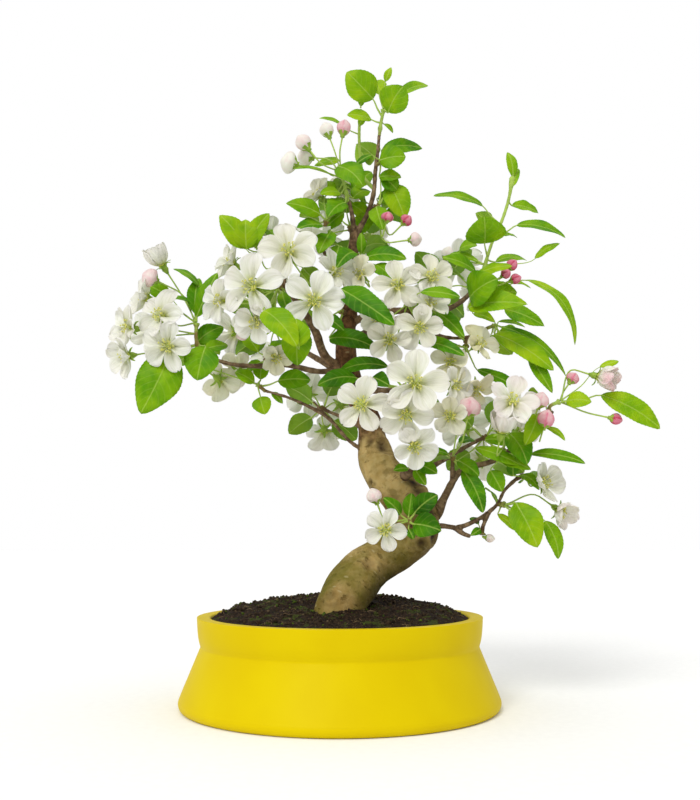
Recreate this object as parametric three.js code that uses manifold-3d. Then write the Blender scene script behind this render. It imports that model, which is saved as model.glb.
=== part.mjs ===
// A flowering crabapple (Malus) grown as a bonsai in a round glazed pot: pot, drain screens, soil,
// one woody trunk with its branches, leafy sprays, and white blossoms.
// Units are millimetres, +Z is up, and the origin is the centre of the pot's flat foot.
import * as THREE from "three";
import { mergeVertices } from "three/addons/utils/BufferGeometryUtils.js";
import Module from "manifold-3d";

const wasm = await Module();
wasm.setup();

// ---------------------------------------------------------------- driving dimensions
const POT_HEIGHT = 53;
const RIM_R = 86;
const WAIST_R = 83.6;
const WAIST_Z = 36;
const BELLY_R = 96;
const FOOT_R = 93;
const MOUTH_R = 77.5;
const FLOOR_Z = 8;
const POT_SEGMENTS = 28;
const DRAIN_R = 6.5;
const DRAIN_X = 38;
const SCREEN_SIDE = 24;
const SCREEN_T = 1;
const SCREEN_HOLE = 5;
const SOIL_EDGE_Z = 51.5; // soil height against the pot's wall
const SOIL_MOUND = 11; // how much higher the soil stands in the middle
const SOIL_LEAN = 0.6; // how much more of that it has at the back than at the front
const CRUMB = 0.8; // height of the soil's crumbs
const GAP = 0.35; // clearance between neighbouring solids
const LEAF_T = 1.4; // blade thickness at the midrib's keel, thinning to the margin
const PETAL_T = 1.1;
const STEM_R = 0.85; // petioles and flower stalks
const SHOOT_R = 1.2;
const KNOB_R = 2.6; // swelling of old bud scars where a spray leaves its twig

// ---------------------------------------------------------------- places
// A bonsai is composed for one viewing side. A place is given as it is seen from there: x and z are
// where the line of sight crosses the plane of the trunk, and depth is how far behind (+) or in front
// (-) of that plane it lies.
const EYE = new THREE.Vector3(6, -600, 105);

function seen([x, z, depth]) {
  const away = 1 + depth / -EYE.y;
  return new THREE.Vector3(x, 0, z).sub(EYE).multiplyScalar(away).add(EYE);
}

const degrees = (a) => (a * Math.PI) / 180;

// ---------------------------------------------------------------- solids
// A closed mesh from points and triangles whose corners are already shared.
function closed(points, triangles) {
  const vertProperties = new Float32Array(points.flatMap((p) => [p.x, p.y, p.z]));
  return new wasm.Manifold(
    new wasm.Mesh({ numProp: 3, vertProperties, triVerts: new Uint32Array(triangles.flat()) }),
  );
}

// A geometry as a solid, without the flat triangles that a lathe leaves on its axis.
function solidOf(geometry) {
  geometry.deleteAttribute("normal");
  geometry.deleteAttribute("uv");
  const merged = mergeVertices(geometry, 1e-3);
  const at = (i) => new THREE.Vector3().fromBufferAttribute(merged.attributes.position, i);
  const points = Array.from({ length: merged.attributes.position.count }, (_, i) => at(i));
  const faces = [];
  for (let i = 0; i < merged.index.count; i += 3) {
    const [a, b, c] = merged.index.array.slice(i, i + 3);
    if (a !== b && b !== c && c !== a) faces.push([a, b, c]);
  }
  return closed(points, faces);
}

const joined = (solids) => wasm.Manifold.union(solids);

// The pieces of a solid that are larger than a scrap, largest first.
function bodiesOf(solid, scrap) {
  return solid
    .decompose()
    .filter((body) => body.volume() > scrap)
    .sort((a, b) => b.volume() - a.volume());
}

// Skins sections of equally many points, laid counter-clockwise round the way they follow. The start
// is flat; the end is flat too, or runs to a point.
function loft(sections, apex) {
  const count = sections[0].length;
  const faces = [];
  for (let i = 0; i + 1 < sections.length; i++) {
    for (let k = 0; k < count; k++) {
      const a = i * count + k;
      const b = i * count + ((k + 1) % count);
      faces.push([a, b, a + count], [b, b + count, a + count]);
    }
  }
  const last = (sections.length - 1) * count;
  const tip = sections.length * count;
  for (let k = 1; k < count - 1; k++) faces.push([0, k + 1, k]);
  for (let k = 0; k < count; k++) {
    if (apex) faces.push([tip, last + k, last + ((k + 1) % count)]);
    else if (k > 0 && k < count - 1) faces.push([last, last + k, last + k + 1]);
  }
  return closed([...sections.flat(), ...(apex ? [apex] : [])], faces);
}

function circle(centre, e1, e2, radii) {
  return radii.map((r, k) => {
    const angle = (2 * Math.PI * k) / radii.length;
    return centre.clone().addScaledVector(e1, r * Math.cos(angle)).addScaledVector(e2, r * Math.sin(angle));
  });
}

// A round tube through points, with a radius at each. With steps it follows a smooth curve; without,
// it is straight from point to point. relief(angle, share) swells the radius.
function tube(points, radii, sides, { steps = 0, relief = () => 0, grow = 0, apex } = {}) {
  const curve = new THREE.CatmullRomCurve3(points);
  const count = steps || points.length - 1;
  const { normals, binormals } = curve.computeFrenetFrames(count, false);
  const sections = normals.map((normal, i) => {
    const at = (i / count) * (radii.length - 1);
    const low = Math.min(Math.floor(at), radii.length - 2);
    const radius = THREE.MathUtils.lerp(radii[low], radii[low + 1], at - low);
    const swell = (_, k) => radius * (1 + relief((2 * Math.PI * k) / sides, i / count)) + grow;
    return circle(curve.getPoint(i / count), normal, binormals[i], Array.from({ length: sides }, swell));
  });
  return loft(sections, apex);
}

// ---------------------------------------------------------------- leaves
const LEAF_ROWS = [0.2, 0.5, 0.8];
const SMALL_LEAF = 15; // narrower blades have two rows
const SMALL_ROWS = [0.3, 0.68];
const SLIP = 7.5; // slips of leaves have one row
const SLIP_ROWS = [0.45];

// An ovate blade on its stalk, arched along its length, with a keel under its midrib. face turns its
// upper side: 0 looks up, 90 to the viewing side, -90 away from it. from is where the stalk starts.
function leaf([bx, bz, bd, tx, tz, td, width, face, , arch = 0.1], from, grow) {
  const base = seen([bx, bz, bd]);
  const along = seen([tx, tz, td]).sub(base);
  const length = along.length();
  along.normalize();
  const normal = new THREE.Vector3(0, -Math.sin(degrees(face)), Math.cos(degrees(face)));
  normal.addScaledVector(along, -along.dot(normal)).normalize();
  const side = normal.clone().cross(along);
  const section = (centre, right, up, half, keel) => {
    const place = (x, y) => centre.clone().addScaledVector(right, x).addScaledVector(up, y);
    const edge = half + grow;
    const [low, high] = [keel / 3 - grow, keel / 3 + grow];
    const under = [place(-edge, low), place(0, (-2 * keel) / 3 - grow), place(edge, low)];
    return grow === 0 ? under : [...under, place(edge, high), place(-edge, high)];
  };
  const stalkSection = (centre, turn) => {
    const bend = new THREE.Quaternion().slerp(
      new THREE.Quaternion().setFromUnitVectors(along, base.clone().sub(from).normalize()),
      turn,
    );
    const up = normal.clone().applyQuaternion(bend);
    return section(centre, side.clone().applyQuaternion(bend), up, STEM_R, 1.7 * STEM_R);
  };
  const rows = (width < SLIP ? SLIP_ROWS : width < SMALL_LEAF ? SMALL_ROWS : LEAF_ROWS).map((u) => {
    const centre = base.clone().addScaledVector(along, length * u);
    centre.addScaledVector(normal, 4 * arch * length * u * (1 - u));
    const half = (width / 2) * Math.sin(Math.PI * u ** 0.8) ** 0.85;
    return section(centre, side, normal, half, LEAF_T);
  });
  const tip = base.clone().addScaledVector(along, length + grow);
  return loft([stalkSection(from, 1), stalkSection(base, 0.5), ...rows], tip);
}

// ---------------------------------------------------------------- blossoms
const PETALS = 5;
const PETAL_HALF = 0.43; // half a petal's width, of the bloom's radius
const PETAL_EDGE = [
  [0.64, 1],
  [0.97, 0.52],
  [0.97, -0.52],
  [0.64, -1],
]; // along the petal, and across it
const PETAL_MID = 0.64;
const NOTCH = 0.2; // where two petals part
const HEART = 0.16; // height of the bloom's heart
const SPIN = 2.4; // the golden angle in radians, so that no two blooms stand alike

function facing(yaw, pitch) {
  const [a, e] = [degrees(yaw), degrees(pitch)];
  return new THREE.Vector3(Math.sin(a) * Math.cos(e), -Math.cos(a) * Math.cos(e), Math.sin(e));
}

// Five spoon-shaped petals with narrow claws, as one sheet: a rim, upper points and lower points.
// cup raises the petals.
function corolla([x, z, depth, yaw, pitch, diameter, cup], index, grow) {
  const out = facing(yaw, pitch);
  const helper = Math.abs(out.z) > 0.9 ? new THREE.Vector3(0, 1, 0) : new THREE.Vector3(0, 0, 1);
  const e1 = helper.cross(out).normalize().applyAxisAngle(out, SPIN * index);
  const e2 = out.clone().cross(e1);
  const radius = (diameter / 2) * (1 + depth / -EYE.y);
  const centre = seen([x, z, depth]);
  const step = (2 * Math.PI) / PETALS;
  const slope = degrees(cup);
  const place = (angle, r, across, height) =>
    centre
      .clone()
      .addScaledVector(e1, radius * (r * Math.cos(angle) - across * Math.sin(angle)))
      .addScaledVector(e2, radius * (r * Math.sin(angle) + across * Math.cos(angle)))
      .addScaledVector(out, radius * height);
  const rise = (u) => u * Math.sin(slope) + 0.1 * Math.sin(Math.PI * Math.min(1, u));
  const rim = [];
  const upper = [];
  const lower = [];
  const half = PETAL_T / 2 + grow;
  for (let k = 0; k < PETALS; k++) {
    const angle = k * step;
    rim.push(place(angle - step / 2, NOTCH + grow / radius, 0, rise(NOTCH)));
    for (const [u, w] of PETAL_EDGE) {
      const wave = 0.05 * Math.sin(1.7 * index + 2.3 * k + 3 * w);
      const [r, across] = [u * Math.cos(slope) + (u * grow) / radius, -w * (PETAL_HALF + grow / radius)];
      rim.push(place(angle, r, across, rise(u) + 0.07 * Math.abs(w) + wave));
    }
    upper.push(place(angle, PETAL_MID * Math.cos(slope), 0, rise(PETAL_MID) + half / radius));
    lower.push(place(angle, PETAL_MID * Math.cos(slope), 0, rise(PETAL_MID) - half / radius));
  }
  upper.push(place(0, 0, 0, HEART + grow / radius));
  lower.push(place(0, 0, 0, -0.9 / radius - grow / radius));
  return sheet(rim, upper, lower, out, grow);
}

// Skins a corolla's rim, upper and lower points; the rim is as thick as twice grow.
function sheet(rim, upper, lower, out, grow) {
  const thick = grow > 0;
  const edge = thick ? rim.map((p) => p.clone().addScaledVector(out, grow)) : rim;
  const back = thick ? rim.map((p) => p.clone().addScaledVector(out, -grow)) : [];
  const points = [...edge, ...upper, ...back, ...lower];
  const low = thick ? edge.length + upper.length : 0;
  const bottom = edge.length + upper.length + back.length;
  const per = PETAL_EDGE.length + 1;
  const faces = [];
  for (let k = 0; k < PETALS; k++) {
    const mid = edge.length + k;
    const [notch, following] = [k * per, ((k + 1) * per) % rim.length];
    for (let j = 0; j < per; j++) {
      const [a, b] = [notch + j, (notch + j + 1) % rim.length];
      faces.push([a, b, mid], [low + b, low + a, bottom + k]);
      if (thick) faces.push([b, a, low + a], [b, low + a, low + b]);
    }
    const [heart, under] = [edge.length + PETALS, bottom + PETALS];
    faces.push([notch, mid, heart], [mid, following, heart]);
    faces.push([low + notch, under, bottom + k], [low + following, bottom + k, under]);
  }
  return closed(points, faces);
}

// ---------------------------------------------------------------- stalks, calyxes and buds
const CALYX_LENGTH = 5;
const CALYX_R = 2.3;
const CALYX = [
  [0, 0.4],
  [0.8, 1],
]; // stations along the calyx, and their share of its radius
const BUD = [
  [0, 0.45],
  [0.45, 1],
  [0.8, 0.6],
];

// A flower stalk that arrives along the way its end faces, and the calyx or bud that it carries.
function stalked(from, base, out, length, radius, stations, sides, grow) {
  const reach = from.distanceTo(base);
  const bend = base.clone().addScaledVector(out, -0.4 * reach);
  const way = bend.clone().sub(from).normalize();
  const turn = new THREE.Quaternion().setFromUnitVectors(out, way);
  const helper = Math.abs(out.z) > 0.9 ? new THREE.Vector3(0, 1, 0) : new THREE.Vector3(0, 0, 1);
  const e1 = helper.cross(out).normalize();
  const e2 = out.clone().cross(e1);
  const round = (centre, r) => circle(centre, e1, e2, Array(sides).fill(r + grow));
  const [s1, s2] = [e1.clone().applyQuaternion(turn), e2.clone().applyQuaternion(turn)];
  const start = circle(from, s1, s2, Array(sides).fill(STEM_R + grow));
  const place = (reachOut) => base.clone().addScaledVector(out, reachOut);
  const sections = stations.map(([at, share]) => round(place(at * length), share * radius));
  if (reach > 20) sections.unshift(round(place(-0.35 * reach), STEM_R));
  return loft([start, ...sections], base.clone().addScaledVector(out, length + grow));
}

// ---------------------------------------------------------------- the tree
// Trunk: [x, z, depth, radius], from the buried root to the fork below the crown.
const TRUNK = [
  [-9, 26, -36, 9],
  [-4.5, 44, -30, 12],
  [-1, 56, -25, 13.4],
  [3, 63.5, -20.5, 14.4],
  [7.5, 70.5, -16, 14.8],
  [14, 78, -11.5, 14.2],
  [24.5, 86, -8.5, 12.6],
  [37, 93.5, -7, 12.2],
  [46.5, 102, -6, 12.8],
  [46, 113, -5, 13.2],
  [38, 124, -3, 13.6],
  [30, 134, -1, 13.2],
  [23, 145, 2, 11.6],
  [20.5, 156, 4, 9.6],
  [18.5, 167, 5, 8.2],
  [13.5, 181, 4, 7.3],
  [8, 195, 2, 7],
  [4, 210, 0, 6.6],
  [3.5, 227, -1, 5.7],
  [6, 243, 0, 4.7],
  [7, 262, 1, 3.8],
  [8, 279, 1, 3.2],
  [9, 293, 0, 2.7],
];
const TRUNK_SIDES = 9;
const TRUNK_STEPS = 25;

// Branches: radius at the start and at the tip, then [x, z, depth] places.
const BRANCHES = {
  left_arm: [2.1, 1.2, [
    [3, 205, 2], [-12, 203, -3], [-36, 207.5, -8], [-52, 206.5, -12], [-72, 208.5, -17],
    [-90, 216, -23]]],
  left_twig: [1.3, 0.9, [
    [16, 152, 2], [6, 159, -2], [-8, 174, -3], [-20, 181, -3], [-34, 187, -3], [-48, 191, -2]]],
  left_twig_side: [0.8, 0.7, [[-6, 172.5, -3], [-11, 178, -4], [-17, 184, -5]]],
  left_riser: [3.1, 1.4, [
    [4, 203, 0], [-9, 212, -5], [-16, 229, -10], [-27, 247, -18], [-36, 260, -22], [-32, 273, -15]]],
  left_top: [1.8, 1.1, [[7, 260, 0], [-6, 272, -3], [-14, 288, -4]]],
  leader_left: [1.8, 1.3, [[8, 285, 0], [8, 300, 0], [6.5, 309, 0], [5, 315, 0]]],
  leader_right: [1.9, 1.1, [
    [8, 284, 0], [12, 295, 0], [17, 305, 0], [21, 318, 0], [22.5, 335, 0], [24, 347, 0], [25, 359, 0]]],
  right_arm: [2.4, 1.4, [
    [5, 234, 0], [22, 240, -6], [40, 242, -12], [58, 240, -14], [72, 245, -14], [82, 253, -14],
    [90, 264, -12]]],
  right_arm_fork: [1.6, 1.1, [
    [40, 242, -12], [52, 231, -12], [66, 225, -10], [80, 225, -10], [93, 231, -10]]],
  middle: [2.6, 1.4, [[10, 190, 0], [20, 191, -16], [29, 191, -28], [38, 191, -36]]],
  middle_low: [2.0, 1.3, [[36, 134, -8], [42, 139, -16], [45, 145, -22]]],
  elbow_front: [2.0, 1.5, [[44, 106, -8], [42.5, 108, -20]]],
  low_fork: [2.5, 1.2, [
    [48, 106, -5], [58, 112.5, -6], [64.4, 124.6, -8], [69, 133.2, -9], [72.5, 138.5, -10],
    [78, 142.5, -11], [90, 145.3, -13], [101, 150, -14], [112, 160, -16], [124, 170, -18],
    [133, 178, -18]]],
  low_fork_spur: [1.6, 1.4, [[70.5, 134.5, -9.5], [69.4, 139, -10.5], [69.5, 144, -11.5]]],
  low_arm: [1.6, 1.1, [
    [50, 106, -4], [62, 107, -4], [72, 106, -4], [82, 109.5, -4], [91, 115, -5], [97, 120.5, -6],
    [101, 128, -5], [109, 136, -4]]],
  low_arm_stub: [1.5, 1.3, [[71, 106, -4], [75, 102.5, -4], [80, 100.5, -4]]],
  low_arm_spur: [1.3, 1.3, [[91, 115, -5], [87.5, 106, -6]]],
  back_left: [2.7, 1.2, [[8, 196, 4], [-6, 206, 24], [-24, 217, 38], [-40, 229, 48]]],
  back_right: [2.4, 1.2, [[5, 222, 2], [24, 232, 22], [46, 242, 36], [62, 254, 44]]],
  back_low: [2.8, 1.2, [[36, 128, 4], [50, 139, 26], [68, 150, 38], [86, 160, 44]]],
  back_top: [1.9, 1.1, [[7, 262, 2], [9, 276, 18], [7, 292, 30]]],
  back_mid: [2.2, 1.1, [[18, 165, 8], [6, 172, 26], [-8, 178, 40]]],
};

// Sprays: everything green that one spur carries. "stem" is the shoot, from the twig outwards.
// leaves: base x, z, depth, tip x, z, depth, width, face, share of the stem where its stalk leaves, arch
// blooms: x, z, depth, yaw (+ turns right), pitch (+ turns up), diameter, cup angle, share of the stem
// lone: blooms that touch no other, each grown as one with its stalk
// buds: base x, z, depth, then its end x, z, depth, width, share of the stem
const SPRAYS = {
  left_tip: {
    stem: [[-89, 216, -23], [-91, 224, -22], [-91, 234, -20]],
    leaves: [
      [-107, 216, -26, -125, 177, -32, 27, 85, 0, 0.06],
      [-85, 219, -28, -90, 198, -33, 21, 85, 0],
      [-86, 217, -20, -71, 220, -12, 10, 60, 0],
      [-91, 221, -14, -74, 232, -10, 13, 75, 0],
      [-91, 238, -20, -79, 267, -24, 11, 70, 1],
      [-90, 258, -14, -106, 270, -16, 9, 30, 1],
      [-93, 246, -14, -112, 250, -20, 9, 30, 1],
      [-108, 250, 4, -126, 260, 2, 11, 75, 1],
      [-94, 214, -8, -110, 206, 10, 15, -50, 0],
    ],
    blooms: [
      [-108, 219, -30, -8, -8, 35, 12, 0],
      [-112, 238, -27, -35, 15, 36, 15, 1],
      [-132, 231, -24, -50, 5, 33, 28, 0.5],
      [-119, 229, 6, 190, 5, 33, 15, 0.5],
    ],
    lone: [
      [-133, 213, -26, -50, -15, 32, 34, 0],
      [-122, 250, -14, -60, 15, 29, 30, 1],
      [-113, 271, -14, -50, 50, 32, 62, 1],
    ],
    buds: [[-116, 261, -16, -126, 266, -22, 12, 1]],
  },
  left_arm_spur: {
    stem: [[-46, 207, -11], [-47, 213, -13]],
    leaves: [
      [-52, 216, -6, -62, 228, -2, 10, 70, 1],
      [-50, 209, -6, -60, 200, 2, 10, 50, 0],
      [-44, 215, -6, -32, 222, 6, 11, 60, 1],
    ],
    blooms: [],
    lone: [[-41, 213, -20, 15, -30, 25, 30, 1]],
    buds: [],
  },
  left_low: {
    stem: [[-47, 190.5, -2], [-52, 195, -1]],
    leaves: [
      [-39, 197, -4, -19, 198, -8, 13, 78, 0],
      [-54, 196, -6, -66, 203, -10, 10, 60, 1],
      [-50, 198, 2, -48, 210, 8, 10, 60, 1],
      [-50, 187, -5, -47, 176, -8, 12, 80, 1],
    ],
    blooms: [
      [-76, 198, 16, 150, -15, 31, 15, 1],
      [-64, 203, 20, 200, 30, 28, 20, 1],
    ],
    buds: [],
  },
  mid_left_front: {
    stem: [[-36, 259, -22], [-40, 256, -27]],
    leaves: [
      [-48.5, 242, -54, -27.5, 220, -66, 17, 60, 1],
      [-26, 219, -60, -28, 237, -62, 15, 80, 1],
      [-27, 229, -32, -27, 207, -40, 18, 85, 1],
      [-37, 254, -36, -32, 238, -44, 8, 60, 1],
      [-44, 246, -14, -60, 233, -4, 13, 40, 1],
    ],
    blooms: [
      [-55, 257, -45, -20, 0, 43, 10, 1],
      [-17, 248, -50, 5, -5, 42, 12, 0],
      [-74, 248, -33, -45, -5, 34, 20, 1],
      [-53, 236, -40, -20, -35, 31, 25, 1],
    ],
    lone: [],
    buds: [[-57, 228, -18, -66, 225, -20, 7, 1]],
  },
  mid_left_top: {
    stem: [[-32.5, 272, -15], [-34, 279, -17]],
    leaves: [
      [-60, 283, -28, -77.5, 305, -34, 15, 75, 1],
      [-60, 282, -30, -61, 302, -32, 15, 95, 1],
      [-59, 283, -28, -46, 306, -34, 12, 80, 1],
      [-24, 270, 0, -10, 256, 14, 13, -60, 0],
    ],
    blooms: [
      [-33, 279, -40, 0, 12, 43, 12, 1],
      [-5, 266, -25, 40, 15, 33, 18, 0],
      [-55, 288, 0, -40, 60, 29, 20, 1],
      [-44, 290, 6, 200, 40, 28, 22, 1],
    ],
    lone: [
      [-68, 272, -18, -60, 25, 30, 22, 1],
      [-19, 291, -14, 10, 70, 29, 20, 1],
    ],
    buds: [],
  },
  top_left: {
    stem: [[-13.5, 286.5, -4], [-11, 294, -4], [-9, 301, -5]],
    leaves: [
      [-13, 305, -8, -35, 313, -14, 13, 70, 1],
      [-12, 298, -8, -28, 296, -18, 12, 55, 0.5],
      [-6, 294, -10, -14, 280, -20, 12, 65, 0],
      [-1, 284, -12, -7, 268, -20, 12, 75, 0],
      [-6, 304, 4, 4, 314, 14, 13, -30, 1],
      [-14, 300, 4, -26, 304, 20, 14, -40, 1],
    ],
    blooms: [],
    lone: [
      [-13, 317, 4, -50, 30, 25, 35, 1],
      [0, 322, 15, 140, 30, 28, 20, 1],
    ],
    buds: [],
  },
  leader_left: {
    stem: [[5.2, 313, 0], [3, 322, -2], [0, 333, -4]],
    leaves: [
      [-5, 331, -8, -30, 336, -20, 8, 35, 1],
      [-1, 341, 0, -17, 338, 6, 10, 55, 1],
      [-2, 337, -8, 14, 325, -20, 16, 78, 1],
      [0, 319, -6, -13, 319, -14, 9, 65, 0.3],
      [3, 313, -7, -8, 304, -15, 13, 65, 0],
    ],
    blooms: [],
    buds: [
      [-7, 356, -8, -11, 367, -8, 9, 1],
      [1, 357, -6, 3, 369, -6, 9, 1],
      [-27, 338, -14, -39, 341, -16, 14, 0.75],
      [-17, 343, -4, -28, 344, -4, 13, 0.9],
      [-20, 348, -14, -28, 358, -14, 10, 1],
    ],
  },
  thin_shoot: {
    stem: [[21.5, 322, 1], [15, 330, 6], [12.5, 346, 7], [12, 362, 6], [13, 376, 5]],
    leaves: [
      [1, 365, 4, -14, 370, 2, 6, 45, 0.7],
      [13, 378, 5, 15, 387, 5, 5, 80, 1],
      [16, 342, 14, 10, 352, 30, 13, -60, 0.4],
    ],
    blooms: [],
    buds: [],
  },
  leader_right: {
    stem: [[25, 358, 0], [26, 366, 0], [28, 376, 0]],
    leaves: [
      [21, 383, -4, 4, 402, -10, 22, 82, 0.6],
      [31, 374, -8, 41, 392, -16, 20, 82, 1],
      [37, 385, 0, 57, 393, 8, 10, 60, 1],
      [29, 395, 2, 33, 405, 2, 5, 80, 1],
      [25, 386, 6, 22, 396, 14, 12, 60, 1],
      [20, 369, -2, 4, 372, -8, 10, 70, 0.3],
      [29, 380, 8, 38, 390, 26, 15, -50, 1],
    ],
    blooms: [],
    buds: [],
  },
  leader_right_mid: {
    stem: [[23.2, 338, 0], [27, 341, -4]],
    leaves: [
      [27, 349, 5, 53, 350, 8, 12, 72, 1],
      [25, 341, -5, 42, 344, -8, 17, 82, 0],
      [25, 330, 0, 39, 330, -4, 10, 68, 0],
    ],
    blooms: [],
    buds: [],
  },
  leader_right_low: {
    stem: [[18.5, 308, 0], [24.5, 311, -3]],
    leaves: [
      [31, 325, 4, 41, 302, 0, 17, 85, 1],
      [27, 330, 0, 37, 321, 0, 12, 75, 1],
      [23, 310, -5, 27, 295, -14, 12, 80, 1],
      [16, 314, 14, 8, 322, 26, 12, -40, 1],
      [26, 313, 8, 40, 318, 24, 15, -50, 1],
    ],
    blooms: [],
    buds: [
      [29, 299, -14, 31, 307, -16, 8, 1],
      [39, 298, -10, 45, 304, -12, 8, 1],
      [43, 288, -14, 52, 289, -16, 9, 1],
    ],
  },
  crown: {
    stem: [[9, 279, -2], [11, 276, -9]],
    leaves: [
      [15, 276, -10, 42, 276, -18, 12, 68, 1],
      [9, 280, -22, -2, 271, -38, 10, 80, 1],
      [22, 272, -14, 34, 263, -22, 12, 60, 1],
      [0, 284, -6, -14, 284, 8, 13, -20, 1],
    ],
    blooms: [[13, 264, -20, -25, 15, 28, 22, 1]],
    buds: [],
  },
  centre_high: {
    stem: [[40, 242, -12], [43, 247, -17]],
    leaves: [
      [51, 254, -44, 76, 251, -50, 9, 62, 1],
      [40, 252, -4, 30, 258, 10, 13, -30, 1],
      [50, 250, -4, 62, 256, 8, 13, -20, 1],
    ],
    blooms: [
      [36, 258, -36, 0, 0, 34, 15, 1],
      [57, 263, -34, 15, 12, 33, 15, 1],
      [56, 244, -38, 10, 40, 30, 20, 1],
      [50, 232, -42, 0, -20, 33, 15, 0],
      [31, 223, -38, -10, -5, 32, 15, 0],
      [24, 237, -36, -20, -10, 26, 25, 0],
    ],
    buds: [],
  },
  trunk_spur: {
    stem: [[3, 240, -4], [0, 242, -12]],
    leaves: [
      [0, 256, -42, 34, 233, -62, 16, 72, 1],
      [-7, 224, -14, 23, 218, -24, 13, 72, 0],
      [-10, 238, -20, 2, 230, -28, 9, 60, 1],
    ],
    blooms: [],
    buds: [],
  },
  right_knot: {
    stem: [[80, 225, -10], [79, 219, -14]],
    leaves: [
      [57, 243, -24, 78, 226, -38, 10, 75, 0],
      [48, 222, -26, 78, 214, -44, 10, 62, 1],
      [86, 204, -12, 113, 192, -18, 9, 60, 1],
      [74, 220, 2, 62, 212, 16, 13, -50, 1],
    ],
    blooms: [
      [70, 209, -32, -15, -10, 28, 22, 1],
      [84, 193, -24, 30, -40, 28, 22, 1],
    ],
    lone: [[86, 220, -24, 35, 20, 29, 20, 0]],
    buds: [],
  },
  right_shoot: {
    stem: [[90, 263, -12], [93, 275, -12], [97, 287, -11], [103, 300, -10], [108, 315, -10], [111, 331, -12]],
    leaves: [
      [92, 286, -20, 92, 304, -32, 25, 92, 0.15],
      [91, 311, -8, 60, 318, -14, 9, 52, 0.5],
      [110, 311, -8, 127, 306, -4, 9, 60, 0.75],
      [113, 298, -10, 144, 291, -16, 10, 52, 0.35],
      [111, 330, -12, 108, 347, -12, 7, 65, 1],
      [99, 274, -6, 119, 276, 0, 9, 45, 0.1],
      [124, 276, -10, 140, 286, -14, 7, 50, 0.05],
      [76, 282, -6, 87, 285, -12, 10, 60, 0.05],
      [96, 296, -2, 88, 306, 14, 12, -50, 0.4],
    ],
    blooms: [],
    buds: [
      [106, 268, -22, 112, 275, -24, 7, 0],
      [102, 264, -24, 108, 268, -28, 6.5, 0],
      [107, 261, -20, 115, 264, -22, 6.5, 0],
    ],
  },
  right_crown: {
    stem: [[84, 255, -14], [86, 256, -22]],
    leaves: [
      [86, 267, -24, 65, 277, -32, 10, 62, 1],
      [86, 265, -26, 109, 272, -36, 11, 52, 1],
      [82, 250, -30, 99, 263, -48, 22, 78, 1],
      [93, 252, -16, 112, 254, -18, 16, 78, 1],
      [81, 244, -30, 118, 247, -48, 15, 72, 1],
      [104, 243, -18, 129, 233, -26, 12, 68, 0],
      [118, 262, -14, 150, 222, -16, 9, 40, 0, 0.2],
      [84, 240, -10, 98, 235, -12, 7, 60, 0],
      [78, 262, -18, 64, 268, -6, 14, -20, 1],
    ],
    blooms: [],
    buds: [],
  },
  right_mid: {
    stem: [[92, 230.5, -10], [98.5, 233, -12]],
    leaves: [
      [97, 227, -16, 134, 204, -28, 15, 62, 1],
      [100, 232, -10, 143, 202, -12, 8, 50, 1, 0.16],
      [119, 213, -20, 133, 190, -26, 9, 70, 0],
      [100, 228, 4, 117, 225, 8, 10, 50, 1],
      [95, 226, 4, 108, 214, 20, 15, -40, 0],
    ],
    blooms: [],
    buds: [],
  },
  right_tip: {
    stem: [[130, 175, -18], [131, 181, -23], [137, 184, -22]],
    leaves: [
      [141, 184, -24, 157, 184, -30, 11, 72, 1],
      [163, 188, -18, 200, 168, -24, 15, 76, 1, 0.08],
      [123, 176, -26, 115, 157, -34, 11, 84, 0],
      [128, 182, -6, 118, 190, 10, 13, -40, 0],
    ],
    blooms: [],
    lone: [[161, 200, -22, 60, -20, 30, 58, 1]],
    buds: [
      [143, 195, -18, 148, 202, -18, 8, 1],
      [167, 174, -22, 176, 172, -22, 7, 1],
      [126, 166, -30, 130, 179, -32, 10, 0],
      [123, 179, -28, 127, 190, -30, 10, 0],
    ],
  },
  right_fork: {
    stem: [[100, 149, -14], [101, 154, -20]],
    leaves: [
      [84, 155, -18, 112, 145, -28, 10, 55, 1],
      [105, 164, -22, 116, 145, -32, 15, 80, 1],
      [99, 148, -20, 118, 142, -28, 9, 55, 1],
      [93, 141, -18, 100, 128, -20, 11, 80, 0],
      [90, 160, -12, 106, 157, -4, 9, 55, 1],
      [118, 151, -18, 152, 146, -24, 8, 60, 0, 0.12],
    ],
    blooms: [[107, 183, -44, 0, 22, 36, 22, 1]],
    lone: [
      [100, 164, -42, 15, 60, 33, 54, 1],
      [112, 178, -14, 150, 30, 30, 20, 1],
    ],
    buds: [],
  },
  fork_spur: {
    stem: [[69.5, 143.5, -11.5], [70, 150, -13.5]],
    leaves: [
      [73, 147, -16, 86, 138, -22, 10, 62, 0],
      [76, 141, -18, 88, 115, -26, 11, 76, 0],
      [66, 150, -4, 54, 146, 10, 13, -30, 0],
      [74, 158, -8, 84, 160, 2, 8, 40, 1],
    ],
    blooms: [],
    lone: [[69, 175, -40, -20, -5, 29, 32, 1]],
    buds: [[79, 173, -34, 82, 187, -36, 14, 1]],
  },
  middle_low: {
    stem: [[44.8, 144.5, -22], [45.5, 149, -26]],
    leaves: [
      [47, 145, -24, 60, 139, -32, 10, 62, 1],
      [46, 142, -24, 53, 132, -28, 7, 70, 0],
    ],
    blooms: [[46, 157, -44, 0, -25, 32, 20, 1]],
    buds: [],
  },
  middle: {
    stem: [[37.5, 191, -36], [40.5, 193.5, -42]],
    leaves: [
      [10, 199, -26, -14, 195, -34, 12, 72, 0],
      [30, 206, -28, -2, 203, -22, 11, 60, 0],
      [20, 199, -36, 31, 194, -46, 10, 80, 0],
      [42, 203, -36, 51, 216, -40, 10, 78, 1],
      [46, 190, -24, 62, 182, -12, 13, 20, 1],
    ],
    blooms: [
      [47, 195, -60, 0, 2, 44, 12, 1],
      [14, 182, -54, -10, -5, 38, 10, 0],
      [41, 177, -52, -5, -28, 38, 18, 1],
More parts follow.
